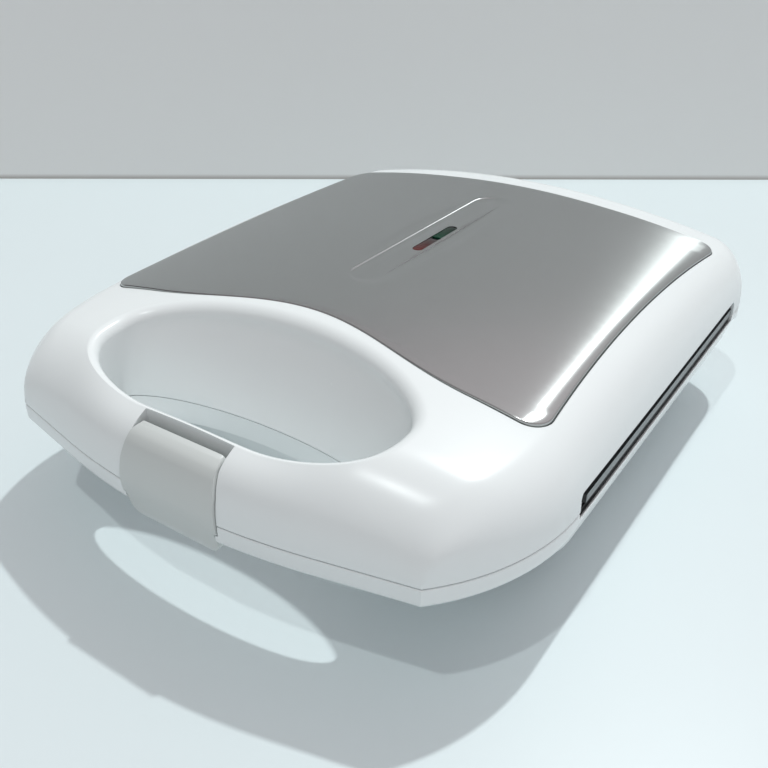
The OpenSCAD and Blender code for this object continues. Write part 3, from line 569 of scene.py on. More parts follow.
def make_lid():
    lid = lid_skin()
    # solid round the latch's recess and at the hinge
    fill_x, fill_y, fill_z = HINGE_FILL
    back = block("back_block", (-fill_x, fill_y, LID_Z0), (fill_x, REAR_Y, fill_z))
    fill_x = RECESS_FILL_X
    front = block("front_block", (-fill_x, FRONT_Y - 1, LID_Z0), (fill_x, RECESS_Y + 3, TOP_Z))
    for filling in (front, back):
        carve(filling, lid_blank(0.6), how="INTERSECT")
    hole, _ = hole_rows(LID_Z0 - 1)
    hole.append([(x, y, TOP_Z + 8) for x, y, _ in hole[-1]])
    carve(front, shell_from_rows("hole", hole))
    carve(lid, front, back, how="UNION")
    carve(lid, cover_bed(), slot_space(), latch_space(RECESS_Y, TOP_Z - SPLIT_Z))
    for side in (-1, 1):
        x = side * HINGE_X
        w = LUG_W / 2 + LUG_GAP
        r = LUG_R + LUG_GAP
        top = HINGE_Z + r + LUG_RISE
        # open below and behind
        carve(lid, block("lug_way", (x - w, HINGE_Y - r, 40), (x + w, HINGE_Y + 60, top)))
    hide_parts("lid_cover")
    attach(lid, "lid")
    soften(lid, 28)
    return lid


# ---- Latch ----


def latch_outline(e, top=0.0):
    """Half of the latch seen from in front, as (x, height above the joint), grown by e."""

    def bend(x, z, r, start):
        points = []
        for k in range(9):
            a = math.radians(start + 90 * k / 8)
            points.append((x + r * math.cos(a), z + r * math.sin(a)))
        return points

    points = bend(LATCH_FOOT - LATCH_FOOT_R, -10, LATCH_FOOT_R + e, -90)
    points += [(LATCH_FOOT + e, -4.2 - e), (LATCH_HALF + e, -3.8 - e)]
    points += [(LATCH_HALF + e, 2), (LATCH_HALF - 0.6 + e, 12)]
    if top:
        return points + [(LATCH_TIP + e, 21), (LATCH_TIP + e, top)]
    return points + bend(LATCH_TIP - LATCH_TIP_R, 20.9, LATCH_TIP_R, 0)


def latch_front(e, top=0.0):
    half = latch_outline(e, top)
    return half + [(-x, z) for x, z in reversed(half)]


def facing_front(x, z, y):
    return x, y, SPLIT_Z + z


def latch_space(y, top):
    """Room for the latch from the housing's front back to y."""
    return prism("latch_space", latch_front(LATCH_GAP, top), FRONT_Y - 1, y, facing_front)


# The latch from the side, as (distance behind the front edge, height above the joint)
LATCH_FACE = [
    (4.6, -16.6), (3.5, -15.7), (2.8, -13.6), (2.1, -10.0), (1.3, -6.5), (0.6, -3.0), (0.15, 1.0),
    (0.15, 4.0), (0.6, 7.5), (1.6, 12.0), (3.0, 16.0), (4.6, 19.2), (6.8, 21.8), (9.6, 23.4), (12.6, 24.2),
]
LATCH_BACK = [
    (12.9, 22.8), (10.4, 21.7), (8.4, 20.0), (7.1, 16.0), (6.1, 11.0), (5.2, 5.0), (4.8, -5.0), (4.8, -9.2),
    (10.2, -9.2), (10.2, -13.8), (8.6, -16.6),
]


def curve_through(points):
    """A smooth line through the points, six steps from one to the next."""
    line = []
    for i in range(len(points) - 1):
        a, b, c, d = (Vector(points[max(0, min(len(points) - 1, i + k))]) for k in (-1, 0, 1, 2))
        for j in range(6):
            t = j / 6
            bow = (2 * a - 5 * b + 4 * c - d) * t**2
            line.append(tuple(0.5 * (2 * b + (c - a) * t + bow + (3 * b - a - 3 * c + d) * t**3)))
    return line + [tuple(points[-1])]


def make_latch():
    profile = curve_through(LATCH_FACE) + LATCH_BACK
    reach = LATCH_HALF + 1
    latch = prism("latch_moulding", profile, -reach, reach, lambda y, z, x: (x, FRONT_Y + y, SPLIT_Z + z))
    face = prism("latch_face", latch_front(0), FRONT_Y - 1, FRONT_Y + 30, facing_front)
    carve(latch, face, how="INTERSECT")
    bevel(latch, 0.7)
    # the arm back to the pin, and the barrel round the pin
    half = LATCH_FOOT
    arm = block("arm", (-half, FRONT_Y + 3.4, LATCH_PIN_Z - 2), (half, LATCH_PIN_Y, LATCH_PIN_Z + 2))
    carve(latch, arm, cross_rod("barrel", 0, half, LATCH_PIN_Y, LATCH_PIN_Z, LATCH_PIN_R + 2), how="UNION")
    carve(latch, cross_rod("pin_way", 0, 40, LATCH_PIN_Y, LATCH_PIN_Z, LATCH_PIN_R + LATCH_PIN_GAP))
    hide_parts("latch")
    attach(latch, "latch")
    soften(latch, 32)
    return latch


# ---- Steel cover ----


def cover_half(y):
    return COVER_HALF_W + (y - COVER_WAIST_Y) ** 2 / (2 * COVER_WAIST_R)


def cover_front_edge(x):
    return -COVER_FRONT - COVER_SWEEP * (1 - math.cos(math.pi * min(1, abs(x) / COVER_SWEEP_X))) / 2


def cover_rear_edge(x):
    return COVER_REAR - COVER_REAR_BOW * (x / COVER_REAR_X) ** 2


def cover_outline(e=0.0):
    r = COVER_CORNER_R - e
    yf = cover_front_edge(COVER_SWEEP_X) + COVER_CORNER_R
    yr = cover_rear_edge(COVER_REAR_X) - COVER_CORNER_R
    xf = cover_half(yf) - COVER_CORNER_R
    xr = cover_half(yr) - COVER_CORNER_R
    half = [(xf * i / 40, cover_front_edge(xf * i / 40) + e) for i in range(40)]
    for i in range(13):
        a = math.radians(90 * i / 12)
        half.append((xf + r * math.sin(a), yf - r * math.cos(a)))
    half += [(cover_half(mix(yf, yr, i / 50)) - e, mix(yf, yr, i / 50)) for i in range(1, 50)]
    for i in range(13):
        a = math.radians(90 * i / 12)
        half.append((xr + r * math.cos(a), yr + r * math.sin(a)))
    half += [(xr * (1 - i / 40), cover_rear_edge(xr * (1 - i / 40)) - e) for i in range(1, 41)]
    return both_sides(half)


def cover_bed():
    """What the steel cover takes out of the lid, with a fine gap round it."""
    plan = cover_outline(-COVER_GAP)
    rows = []
    for s in (0.05, 0.3, 0.5, 0.7, 0.88, 1):
        ring = [(x * s, COVER_MID + (y - COVER_MID) * s) for x, y in plan]
        rows.append([(x, y, crown(x, y) - COVER_BED) for x, y in ring])
    rows.append([(x, y, TOP_Z + 5) for x, y in plan])
    return shell_from_rows("cover_bed", rows)


def cover_top(x, y):
    """The steel sheet is flatter than the lid over its middle, and turns down sharply along its sides."""
    across = abs(x)
    bend = (min(max(across, SWELL_START), SWELL_FULL) - SWELL_START) ** 2 / (2 * (SWELL_FULL - SWELL_START))
    swell = SWELL * (bend + max(0, across - SWELL_FULL))
    return crown(x, y) + COVER_LIFT + swell - TURN_DOWN * max(0, across - TURN_DOWN_X) ** 2


def cover_z(x, y):
    """Top of the steel sheet with its pressed channel, whose left wall is steep and right wall soft."""
    d = from_stadium(x, y, CHANNEL_W, CHANNEL_L, CHANNEL_Y)
    wall = mix(CHANNEL_LEFT, CHANNEL_RIGHT, smooth((x + CHANNEL_TURN) / (2 * CHANNEL_TURN)))
    return cover_top(x, y) - CHANNEL_D * max(0, min(1, 0.5 - d / wall))


def window_loop():
    return stadium(WINDOW_W + WINDOW_GAP, WINDOW_L + WINDOW_GAP, WINDOW_Y, WINDOW_X)


def from_window(x, y, gap=0.0):
    return from_stadium(x, y, WINDOW_W + gap, WINDOW_L + gap, WINDOW_Y, WINDOW_X)


def cover_grid():
    """Points of a square grid, away from the sheet's edge, the channel's walls and the window."""
    step, margin = 4.0, 4
    points = []
    for i in range(-30, 31):
        for j in range(-24, 36):
            x, y = i * step, j * step
            inside = (
                abs(x) < cover_half(y) - margin
                and cover_front_edge(x) + margin < y < cover_rear_edge(x) - margin
            )
            wall = abs(from_stadium(x, y, CHANNEL_W, CHANNEL_L, CHANNEL_Y))
            if inside and wall > margin and from_window(x, y) > 1.5:
                points.append(Vector((x, y)))
    return points


def cover_face():
    """The sheet's face, with edges along the channel's walls and the window left open."""
    rim = cover_outline(SHEET_EDGE_R)
    walls = (-3, -1.4, -0.8, -0.5, 0, 0.5, 0.8, 1.4, 3)
    loops = [rim] + [stadium(CHANNEL_W + 2 * d, CHANNEL_L + 2 * d, CHANNEL_Y) for d in walls] + [window_loop()]
    points, edges = [], []
    for loop in loops:
        first = len(points)
        points += [Vector(p) for p in loop]
        edges += [(first + i, first + (i + 1) % len(loop)) for i in range(len(loop))]
    spots, _, faces, _, _, _ = delaunay_2d_cdt(points + cover_grid(), edges, [], 0, 1e-4)

    def within(x, y):
        hit = False
        for (x1, y1), (x2, y2) in zip(rim, rim[1:] + rim[:1]):
            if (y1 > y) != (y2 > y) and x < (x2 - x1) * (y - y1) / (y2 - y1) + x1:
                hit = not hit
        return hit

    build = bmesh.new()
    verts = [build.verts.new((p.x * MM, p.y * MM, cover_z(p.x, p.y) * MM)) for p in spots]
    for face in faces:
        middle = sum((spots[i] for i in face), Vector((0, 0))) / len(face)
        if from_window(middle.x, middle.y, WINDOW_GAP) > 0 and within(*middle):
            build.faces.new([verts[i] for i in face])
    loose = [v for v in build.verts if not v.link_faces]
    bmesh.ops.delete(build, geom=loose, context="VERTS")
    return new_piece("steel_sheet", build)


def cover_edge():
    """The sheet's turned edge, from the face down into the lid's groove."""
    rows = []
    for a, drop in ((90, 0), (72, 0), (54, 0), (36, 0), (18, 0), (0, 0), (0, SHEET_TURN_H)):
        t = math.radians(a)
        down = SHEET_EDGE_R * (1 - math.sin(t))
        ring = cover_outline(SHEET_EDGE_R * (1 - math.cos(t)))
        rows.append([(x, y, cover_top(x, y) - down - drop) for x, y in ring])
    return shell_from_rows("turned_edge", rows, capped=False)


def make_cover():
    sheet = cover_face()
    build = bmesh.new()
    build.from_mesh(sheet.data)
    take_in(build, cover_edge())
    bmesh.ops.remove_doubles(build, verts=build.verts, dist=2e-5)
    bmesh.ops.recalc_face_normals(build, faces=build.faces)
    if sum(f.normal.z for f in build.faces) < 0:
        bmesh.ops.reverse_faces(build, faces=build.faces)
    # the brushing's direction
    along = build.loops.layers.uv.new("along_depth")
    for face in build.faces:
        for corner in face.loops:
            corner[along].uv = (corner.vert.co.y, corner.vert.co.x)
    build.to_mesh(sheet.data)
    build.free()
    thick = sheet.modifiers.new("sheet", "SOLIDIFY")
    thick.thickness = SHEET_T * MM
    thick.offset = -1
    settle(sheet)
    soften(sheet, 40)
    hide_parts("steel_cover")
    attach(sheet, "lid")
    return sheet


# ---- Signal lights ----


def lens(name, start, end, drop, grown=0.0):
    """Part of the window's stadium between two distances behind its middle, set below the steel's face."""
    low, high = WINDOW_Y + start, WINDOW_Y + end
    kept = []
    for x, y in stadium(WINDOW_W + grown, WINDOW_L + grown, WINDOW_Y, WINDOW_X):
        spot = (x, min(high, max(low, y)))
        if not kept or spot != kept[-1]:
            kept.append(spot)
    top = cover_z(WINDOW_X, WINDOW_Y) - drop
    piece = prism(name, kept, top - LENS_H, top)
    bevel(piece, 0.3)
    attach(piece, "lid")
    return piece


def make_lights():
    end = WINDOW_L / 2 + 1
    red = lens("red_window", -end, -BAR_HALF, LENS_DROP)
    green = lens("green_window", BAR_HALF, end, LENS_DROP)
    frame_piece = lens("window_frame", -end, end, FRAME_DROP, FRAME_GROWN)
    for piece, node in ((red, "red_lens"), (green, "green_lens"), (frame_piece, "light_bezel")):
        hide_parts(node)
        soften(piece, 30)
    return red, green, frame_piece


# ---- Base ----


def lip_bottom(y):
    """The lip's lower edge: deep along the handle's strip, shallower along the sides, lower by the hinge."""
    height = mix(STRIP_H, LIP_H, smooth((y - STRIP_REAR) / STRIP_FADE))
    return SPLIT_Z - height - HINGE_DROP * smooth((y - HINGE_DROP_Y) / HINGE_DROP_FADE)


def base_lip():
    rows = []
    for e, up in ((1.9, 0), (1.3, 0.15), (0.8, 0.5), (0.35, 1.1), (0.1, 1.9), (0, 2.8)):
        rows.append([(x, y, lip_bottom(y) + up) for x, y in housing_outline(e)])
    rows.append([(x, y, SPLIT_Z - 0.5) for x, y in OUTLINE])
    rows.append([(x, y, SPLIT_Z) for x, y in housing_outline(JOINT_EDGE)])
    return shell_from_rows("base_lip", rows)


def dish_ring(e, angle, z):
    lean = DISH_W * (1 - math.cos(math.radians(angle))) + e + DISH_SIDE
    y0, y1 = FRONT_Y + DISH_FRONT + lean, REAR_Y - DISH_REAR - lean * 0.8
    half, r = HALF_W - lean, DISH_CORNER_R
    points = []
    for cx, cy, start in ((1, y0 + r, -90), (1, y1 - r, 0), (-1, y1 - r, 90), (-1, y0 + r, 180)):
        for i in range(13):
            a = math.radians(start + 90 * i / 12)
            points.append((cx * (half - r) + r * math.cos(a), cy + r * math.sin(a), z))
    return points


def dish(e, top):
    """The base's bowl as a solid, set in by e."""
    lip_z = SPLIT_Z - LIP_H + 1
    depth = lip_z - FLOOR_Z - e
    rows = [dish_ring(e, a, lip_z - depth * math.sin(math.radians(a))) for a in range(90, -1, -10)]
    rows.append(dish_ring(e, 0, top))
    return shell_from_rows("dish", rows)


def low_hole():
    """The finger hole through the base. Its front edge leans in below, where the bar swells."""
    rows = []
    for drop, lean in ((20, 1), (7.2, 1), (5, 0.72), (2.6, 0.3), (0, 0), (-5, 0)):
        row = []
        for x, y in low_ring():
            if y < HOLE_Y:
                swollen = HOLE_Y - LOW_HALF_L * math.sqrt(1 - (x / (HOLE_HALF_W + 0.01)) ** 2)
                y = mix(y, swollen, lean)
            row.append((x * (1 - LOW_NARROWING * lean), y, SPLIT_Z - drop))
        rows.append(row)
    return shell_from_rows("hole", rows)


def add_hinge_lugs(base):
    half = LUG_W / 2
    for side in (-1, 1):
        x = side * HINGE_X
        lug = cross_rod("lug", x, half, HINGE_Y, HINGE_Z, LUG_R)
        low, high = (x - half, HINGE_Y - LUG_R, HINGE_Z - LUG_STEM_H), (x + half, HINGE_Y + LUG_R, HINGE_Z)
        stem = block("stem", low, high)
        carve(base, carve(lug, stem, how="UNION"), how="UNION")
        carve(base, cross_rod("pin_hole", x, LUG_HOLE_HALF, HINGE_Y, HINGE_Z, LUG_HOLE_R))


def add_floor_details(base):
    """Seats and holes for the feet, and rows of vents."""
    for x in (-FOOT_X, FOOT_X):
        for y in FOOT_Y:
            carve(base, rod("foot_seat", (x, y, 3), (x, y, FLOOR_Z + 4), FOOT_SEAT_R), how="UNION")
            carve(base, rod("foot_hole", (x, y, 2), (x, y, FLOOR_Z + 0.5), FOOT_HOLE_R))
    for x in (-VENT_X, VENT_X):
        for i in range(-3, 4):
            y = PLATE_Y + i * VENT_PITCH
            vent = [(x + sx, y + sy) for sy, sx in stadium(VENT_W, VENT_L, 0, VENT_BACK)]
            carve(base, column("vent", vent, 5, 14))


def make_base():
    base = base_lip()
    back_half = [math.radians(90 + 3 * i) for i in range(61)]
    skirt = hole_ring(HOLE_HALF_W + WALL, HOLE_HALF_L + WALL, HOLE_Y, back_half)
    carve(base, dish(0, SPLIT_Z - 1), column("skirt", skirt, SPLIT_Z - SKIRT_H, SPLIT_Z - 1), how="UNION")
    carve(base, dish(WALL, SPLIT_Z - WALL))
    step_z = SPLIT_Z - HINGE_DROP
    carve(base, block("back_step", (-HALF_W - 1, HINGE_Y - 10, step_z), (HALF_W + 1, REAR_Y + 5, SPLIT_Z + 9)))
    add_hinge_lugs(base)
    opening = [(x, y + PLATE_Y) for x, y in rounded_corners(OPENING_W, OPENING_L, OPENING_R)]
    carve(base, column("plate_opening", opening, SPLIT_Z - 12, SPLIT_Z + 8))
    carve(base, low_hole())
    carve(base, latch_space(NOTCH_Y, 4))
    # a groove between the plate's flange and the lip, and the lip lower along the slot
    for side in (-1, 1):
        for low, high, z in (GROOVE, LOW_LIP):
            carve(base, side_block("groove", side, (low, high), (SLOT_FRONT, SLOT_REAR), (z, SPLIT_Z + 2)))
    add_floor_details(base)
    carve(base, rod("cord_way", (0, 140, CORD_Z), (0, 170, CORD_Z), CORD_R))
    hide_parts("base_shell")
    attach(base, "base")
    soften(base, 30)
    return base


# ---- Cast plates ----


def make_upper_plate():
    """The casting, whose flange runs on to the slots' rear ends."""
    build = bmesh.new()
    build.from_mesh(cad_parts["upper_plate"].data)
    for side in (-1, 1):
        take_in(build, side_block("flange_end", side, (FLANGE_END_X, UPPER_END_X), FLANGE_END_Y, UPPER_END_Z))
    plate = new_piece("upper_casting", build)
    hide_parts("upper_plate")
    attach(plate, "lid")
    soften(plate, 30)
    return plate


def make_lower_plate():
    """The casting with its flange drawn out sideways to the slots, and run on to their rear ends."""
    low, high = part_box("lower_plate")
    build = bmesh.new()
    build.from_mesh(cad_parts["lower_plate"].data)
    for v in build.verts:
        if abs(v.co.x) > high.x - 0.4 * MM and v.co.z > high.z - 6 * MM:
            v.co.x = math.copysign(FLANGE_X * MM, v.co.x)
    for side in (-1, 1):
        # its rim, a black-coated strip turned down into the base's groove: it stands in for the shade in the
        # gap between the plate and the lip
        rim_y = (SLOT_FRONT + 1, FLANGE_END_Y[1])
        take_in(build, side_block("rim", side, SHADE_RIM_X, rim_y, SHADE_RIM_Z))
        end_x = (FLANGE_END_X, FLANGE_X - 0.03)
        take_in(build, side_block("flange_end", side, end_x, FLANGE_END_Y, LOWER_END_Z))
    plate = new_piece("lower_casting", build)
    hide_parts("lower_plate")
    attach(plate, "base")
    soften(plate, 30)
    return plate


# ---- Finishes ----


def linear(code):
    """The linear value of an sRGB hex colour."""
    channels = [int(code[i:i + 2], 16) / 255 for i in (1, 3, 5)]
    return [c / 12.92 if c <= 0.04045 else ((c + 0.055) / 1.055) ** 2.4 for c in channels] + [1.0]


def add_node(material, kind, links=None, values=None, **settings):
    """Adds a node with its settings, its sockets' values, and links from other nodes' sockets."""
    node = material.node_tree.nodes.new(kind)
    for key, value in settings.items():
        setattr(node, key, value)
    for socket, value in (values or {}).items():
        node.inputs[socket].default_value = value
    for socket, source in (links or {}).items():
        material.node_tree.links.new(source, node.inputs[socket])
    return node


def new_finish(name, colour, roughness, **values):
    """A material with its shader, and the object's coordinates in millimetres."""
    material = bpy.data.materials.new(name)
    material.use_nodes = True
    shader = material.node_tree.nodes["Principled BSDF"]
    shader.inputs["Base Color"].default_value = linear(colour)
    shader.inputs["Roughness"].default_value = roughness
    for key, value in values.items():
        shader.inputs[key].default_value = value
    place = add_node(material, "ShaderNodeTexCoord")
    scaled = add_node(
        material, "ShaderNodeVectorMath", links={0: place.outputs["Object"]}, values={1: (1000, 1000, 1000)},
        operation="MULTIPLY",
    )
    return material, shader, scaled.outputs["Vector"]


def grain(material, spot, size_mm, detail=3.0, stretch=(1, 1, 1), rough=0.5):
    """Noise whose spots are size_mm across, longer where stretch is larger."""
    scaled = add_node(
        material, "ShaderNodeVectorMath", links={0: spot}, values={1: [1 / (size_mm * s) for s in stretch]},
        operation="MULTIPLY",
    )
    return add_node(
        material, "ShaderNodeTexNoise", links={"Vector": scaled.outputs["Vector"]},
        values={"Scale": 1.0, "Detail": detail, "Roughness": rough},
    ).outputs["Fac"]


def fade(material, spot, axis, start, end, low=0.0, high=1.0):
    """Goes from low to high between two distances along an axis."""
    parts = add_node(material, "ShaderNodeSeparateXYZ", links={"Vector": spot})
    ends = {"From Min": start, "From Max": end, "To Min": low, "To Max": high}
    return add_node(
        material, "ShaderNodeMapRange", links={"Value": parts.outputs[axis]}, values=ends
    ).outputs["Result"]


def relief(material, shader, height, depth_mm, strength):
    bump = add_node(
        material, "ShaderNodeBump", links={"Height": height},
        values={"Distance": depth_mm * MM, "Strength": strength},
    )
    material.node_tree.links.new(bump.outputs["Normal"], shader.inputs["Normal"])


def vary(material, shader, socket, fac, low, high):
    """Drives a socket between two values, or two colours, by a pattern."""
    if isinstance(low, str):
        ramp = add_node(material, "ShaderNodeMix", links={"Factor": fac}, data_type="RGBA")
        # the colour sockets go by number, as their names repeat
        ramp.inputs[6].default_value = linear(low)
        ramp.inputs[7].default_value = linear(high)
        result = ramp.outputs[2]
    else:
        ends = {"To Min": low, "To Max": high}
        result = add_node(material, "ShaderNodeMapRange", links={"Value": fac}, values=ends).outputs["Result"]
    material.node_tree.links.new(result, shader.inputs[socket])


def glossy_abs():
    """White ABS, injection moulded in a polished mould: even colour, soft reflections, a faint waviness."""
    material, shader, spot = new_finish(
        "glossy_white_abs_moulded", "#EFF4F4", 0.26, **{"IOR": 1.53, "Specular IOR Level": 0.36}
    )
    # the sink and flow of the moulding, some 12 mm across and a few hundredths deep
    relief(material, shader, grain(material, spot, 12, detail=1), 0.02, 0.5)
    # faint handling marks dull the gloss in patches 25 mm across
    vary(material, shader, "Roughness", grain(material, spot, 25), 0.23, 0.29)
    return material


def satin_abs():
    """Warm grey ABS, moulded against a finely etched mould: a soft sheen and no sharp reflections."""
    material, shader, spot = new_finish("satin_grey_abs_moulded", "#D3D8D6", 0.38, IOR=1.53)
    # the etching, drawn 0.5 mm across so that it shows
    relief(material, shader, grain(material, spot, 0.5, detail=2), 0.012, 0.5)
    vary(material, shader, "Roughness", grain(material, spot, 8), 0.34, 0.42)
    return material


def brushed_steel():
    """Stainless steel sheet, brushed from side to side: light runs out across the scratches."""
    material, shader, spot = new_finish(
        "stainless_steel_brushed", "#B4B5B3", 0.16, Metallic=1.0, Anisotropic=1.0
    )
    tangent = add_node(material, "ShaderNodeTangent", direction_type="UV_MAP", uv_map="along_depth")
    material.node_tree.links.new(tangent.outputs["Tangent"], shader.inputs["Tangent"])
    # scratches 0.5 mm apart, drawn coarser than the real 0.1 mm so that they show, and up to 60 mm long
    scratches = grain(material, spot, 0.5, detail=4, stretch=(120, 1, 1), rough=0.7)
    vary(material, shader, "Base Color", scratches, "#B2B4B3", "#BCBEBD")
    # longer bands 2.5 mm apart blur the light unevenly, and the belt pressed harder towards the hinge
    bands = grain(material, spot, 2.5, detail=3, stretch=(20, 1, 1))
    belt = fade(material, spot, "Y", -60, 130, -0.1, 0.75)
    blur = add_node(
        material, "ShaderNodeMath", links={0: bands, 2: belt}, values={1: 0.3}, operation="MULTIPLY_ADD"
    )
    vary(material, shader, "Roughness", blur.outputs["Value"], 0.15, 0.225)
    relief(material, shader, scratches, 0.002, 0.4)
    return material


def cast_nonstick():
    """Die-cast aluminium with a sprayed black PTFE coat: dark, matt and lightly pebbled."""
    material, shader, spot = new_finish("cast_aluminium_ptfe_coated", "#232426", 0.42, IOR=1.38)
    relief(material, shader, grain(material, spot, 0.7, detail=2), 0.02, 0.6)
    vary(material, shader, "Roughness", grain(material, spot, 5), 0.36, 0.5)
    return material


def milled_edge():
    """Die-cast aluminium milled along the flange's edge: grey metal with fine tool marks."""
    material, shader, spot = new_finish("cast_aluminium_milled", "#8B8E8F", 0.42, Metallic=1.0)
    marks = grain(material, spot, 0.6, detail=3, stretch=(30, 30, 1))
    vary(material, shader, "Base Color", marks, "#77797A", "#9FA2A3")
    relief(material, shader, marks, 0.01, 0.5)
    return material


def annealed_tube():
    """Steel heater tube, bright annealed and browned by heat."""
    material, shader, spot = new_finish("steel_tube_annealed", "#7C746B", 0.4, Metallic=1.0)
    vary(material, shader, "Base Color", grain(material, spot, 9), "#6B6159", "#8F8A84")
    return material


def tinned_sheet():
    """Tinned steel sheet, rolled: pale metal with faint cloudy spangle."""
    material, shader, spot = new_finish("tinned_steel_rolled", "#BFC2C4", 0.32, Metallic=1.0)
    vary(material, shader, "Roughness", grain(material, spot, 6), 0.26, 0.42)
    return material


def zinc_plated():
    """Zinc-plated steel, turned and rolled: bright grey with a soft blur."""
    material, shader, spot = new_finish("steel_zinc_plated", "#B4B7B8", 0.28, Metallic=1.0)
    vary(material, shader, "Roughness", grain(material, spot, 1.5), 0.22, 0.36)
    return material


def moulded_rubber():
    """Black EPDM rubber, moulded: dull, with a fine tooth."""
    material, shader, spot = new_finish("epdm_rubber_moulded", "#1D1E1F", 0.75, IOR=1.5)
    relief(material, shader, grain(material, spot, 0.8), 0.03, 0.6)
    return material


def black_nylon():
    """Black glass-filled nylon, moulded: satin with faint fibres at the surface."""
    material, shader, spot = new_finish("black_nylon_moulded", "#151617", 0.36, IOR=1.53)
    relief(material, shader, grain(material, spot, 0.6, stretch=(3, 1, 1)), 0.01, 0.5)
    return material


def steatite():
    """Steatite, pressed and fired: cream, dense and slightly chalky."""
    material, shader, spot = new_finish("steatite_fired", "#E4DECF", 0.55, IOR=1.6)
    vary(material, shader, "Base Color", grain(material, spot, 2), "#DDD6C6", "#EBE6DA")
    return material


def tinted_lens(name, colour, deep, start):
    """Clear polycarbonate dyed in the mass and moulded, over an unlit lamp: dark, glassy colour."""
    material, shader, spot = new_finish(name, colour, 0.1, **{"IOR": 1.45, "Specular IOR Level": 0.15})
    # the colour darkens along the lens towards the hinge, with moulded prisms 1.2 mm apart
    depth = fade(material, spot, "Y", start, start + LENS_L)
    vary(material, shader, "Base Color", depth, colour, deep)
    bars = add_node(
        material, "ShaderNodeTexWave", links={"Vector": spot}, values={"Scale": 0.26, "Distortion": 0.4},
        bands_direction="Y",
    )
    relief(material, shader, bars.outputs["Fac"], 0.05, 0.3)
    return material


def lamp_glass():
    """Soda-lime glass bulb of a neon lamp, blown and sealed: clear, faintly orange from its electrodes."""
    material, shader, spot = new_finish(
        "soda_glass_blown", "#F0D2B4", 0.05, **{"IOR": 1.52, "Transmission Weight": 0.8}
    )
    vary(material, shader, "Roughness", grain(material, spot, 1.5), 0.03, 0.1)
    return material


def dress(piece, finish):
    piece.data.materials.clear()
    piece.data.materials.append(finish)


def mill_flange(plate, finish):
    """The flange's outer edge gets the milled finish."""
    plate.data.materials.append(finish)
    spots = [v.co for v in plate.data.vertices]
    middle_y = (max(c.y for c in spots) + min(c.y for c in spots)) / 2
    reach_x, reach_y = max(c.x for c in spots), max(c.y for c in spots) - middle_y
    for face in plate.data.polygons:
        spot = face.center
        outer = abs(spot.x) > reach_x - 0.5 * MM or abs(spot.y - middle_y) > reach_y - 0.5 * MM
        face.material_index = 1 if outer and abs(face.normal.z) < 0.5 else 0


# ---- The toaster ----

lid = make_lid()
cover = make_cover()
base = make_base()
latch = make_latch()
red_window, green_window, window_frame = make_lights()
lower_casting = make_lower_plate()
upper_casting = make_upper_plate()

white = glossy_abs()
coated = cast_nonstick()
nylon = black_nylon()

# The pieces that stay as the solids are
for finish, names in (
    (white, ("handle_liner",)),
    (nylon, ("lamp_holder",)),
    (annealed_tube(), ("lower_element", "upper_element")),
    (tinned_sheet(), ("lower_heat_shield", "upper_heat_shield")),
    (zinc_plated(), ("base_screws", "liner_screws", "lid_screws", "plate_screws", "hinge_pins", "latch_pin")),
    (moulded_rubber(), ("feet", "cord_inlet")),
    (steatite(), ("terminal_block", "thermostat")),
    (lamp_glass(), ("neon_lamps", "thermal_fuse")),
):
    for name in names:
        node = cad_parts[name]
        dress(node, finish)
        soften(node, 30)

red = tinted_lens("red_polycarbonate_moulded", "#5A2320", "#1C0706", WINDOW_Y - WINDOW_L / 2)
green = tinted_lens("green_polycarbonate_moulded", "#0F3E2C", "#04100B", WINDOW_Y + BAR_HALF)
for piece, finish, slot in (
    (lid, white, "housing"), (base, white, "housing"), (cover, brushed_steel(), "steel_sheet"),
    (latch, satin_abs(), "latch_plastic"), (lower_casting, coated, "cast_plate"),
    (upper_casting, coated, "cast_plate"), (red_window, red, "red_lens"),
    (green_window, green, "green_lens"), (window_frame, nylon, "black_plastic"),
):
    dress(piece, finish)

milled = milled_edge()
for plate in (upper_casting, lower_casting):
    mill_flange(plate, milled)

# ---- Table and wall, in metres ----

ROOM = 3
WALL_H = 0.5
WALL_DISTANCE = 0.845  # from the camera's foot
CAMERA_SPOT = Vector((219.22, -339.56, 268.81)) * MM
PITCH, YAW, ROLL = 0.535936, 0.594961, 0.0015416  # radians
ahead = Vector((-math.sin(YAW), math.cos(YAW), 0))
across = Vector((math.cos(YAW), math.sin(YAW), 0))


def plane(name, corners, finish):
    build = bmesh.new()
    build.faces.new([build.verts.new(c) for c in corners])
    piece = new_piece(name, build)
    dress(piece, finish)


def white_laminate():
    """Melamine laminate, pressed against a satin plate: pale and even, with a wide soft sheen."""
    return new_finish("white_laminate", "#DFE9EB", 0.4, IOR=1.5)[0]


def painted_wall():
    """Plaster, painted matt: pale and even, with painted shade in the few millimetres above the table."""
    material, shader, spot = new_finish("painted_wall", "#E9EAE9", 0.6)
    # painted shade: the wall's colour darkens over its lowest 5 mm, where it meets the table
    vary(material, shader, "Base Color", fade(material, spot, "Z", 0, 5), "#A8A39F", "#E9EAE9")
    # clear from behind and for the lamps' light, so that it hides nothing and casts no shadow
    back = add_node(material, "ShaderNodeNewGeometry").outputs["Backfacing"]
    lamp_ray = add_node(material, "ShaderNodeLightPath").outputs["Is Shadow Ray"]
    clear = add_node(material, "ShaderNodeBsdfTransparent").outputs["BSDF"]
    gone = add_node(material, "ShaderNodeMath", links={0: back, 1: lamp_ray}, operation="MAXIMUM")
    either = add_node(
        material, "ShaderNodeMixShader",
        links={0: gone.outputs["Value"], 1: shader.outputs["BSDF"], 2: clear},
    )
    surface = material.node_tree.nodes["Material Output"].inputs["Surface"]
    material.node_tree.links.new(either.outputs["Shader"], surface)
    return material


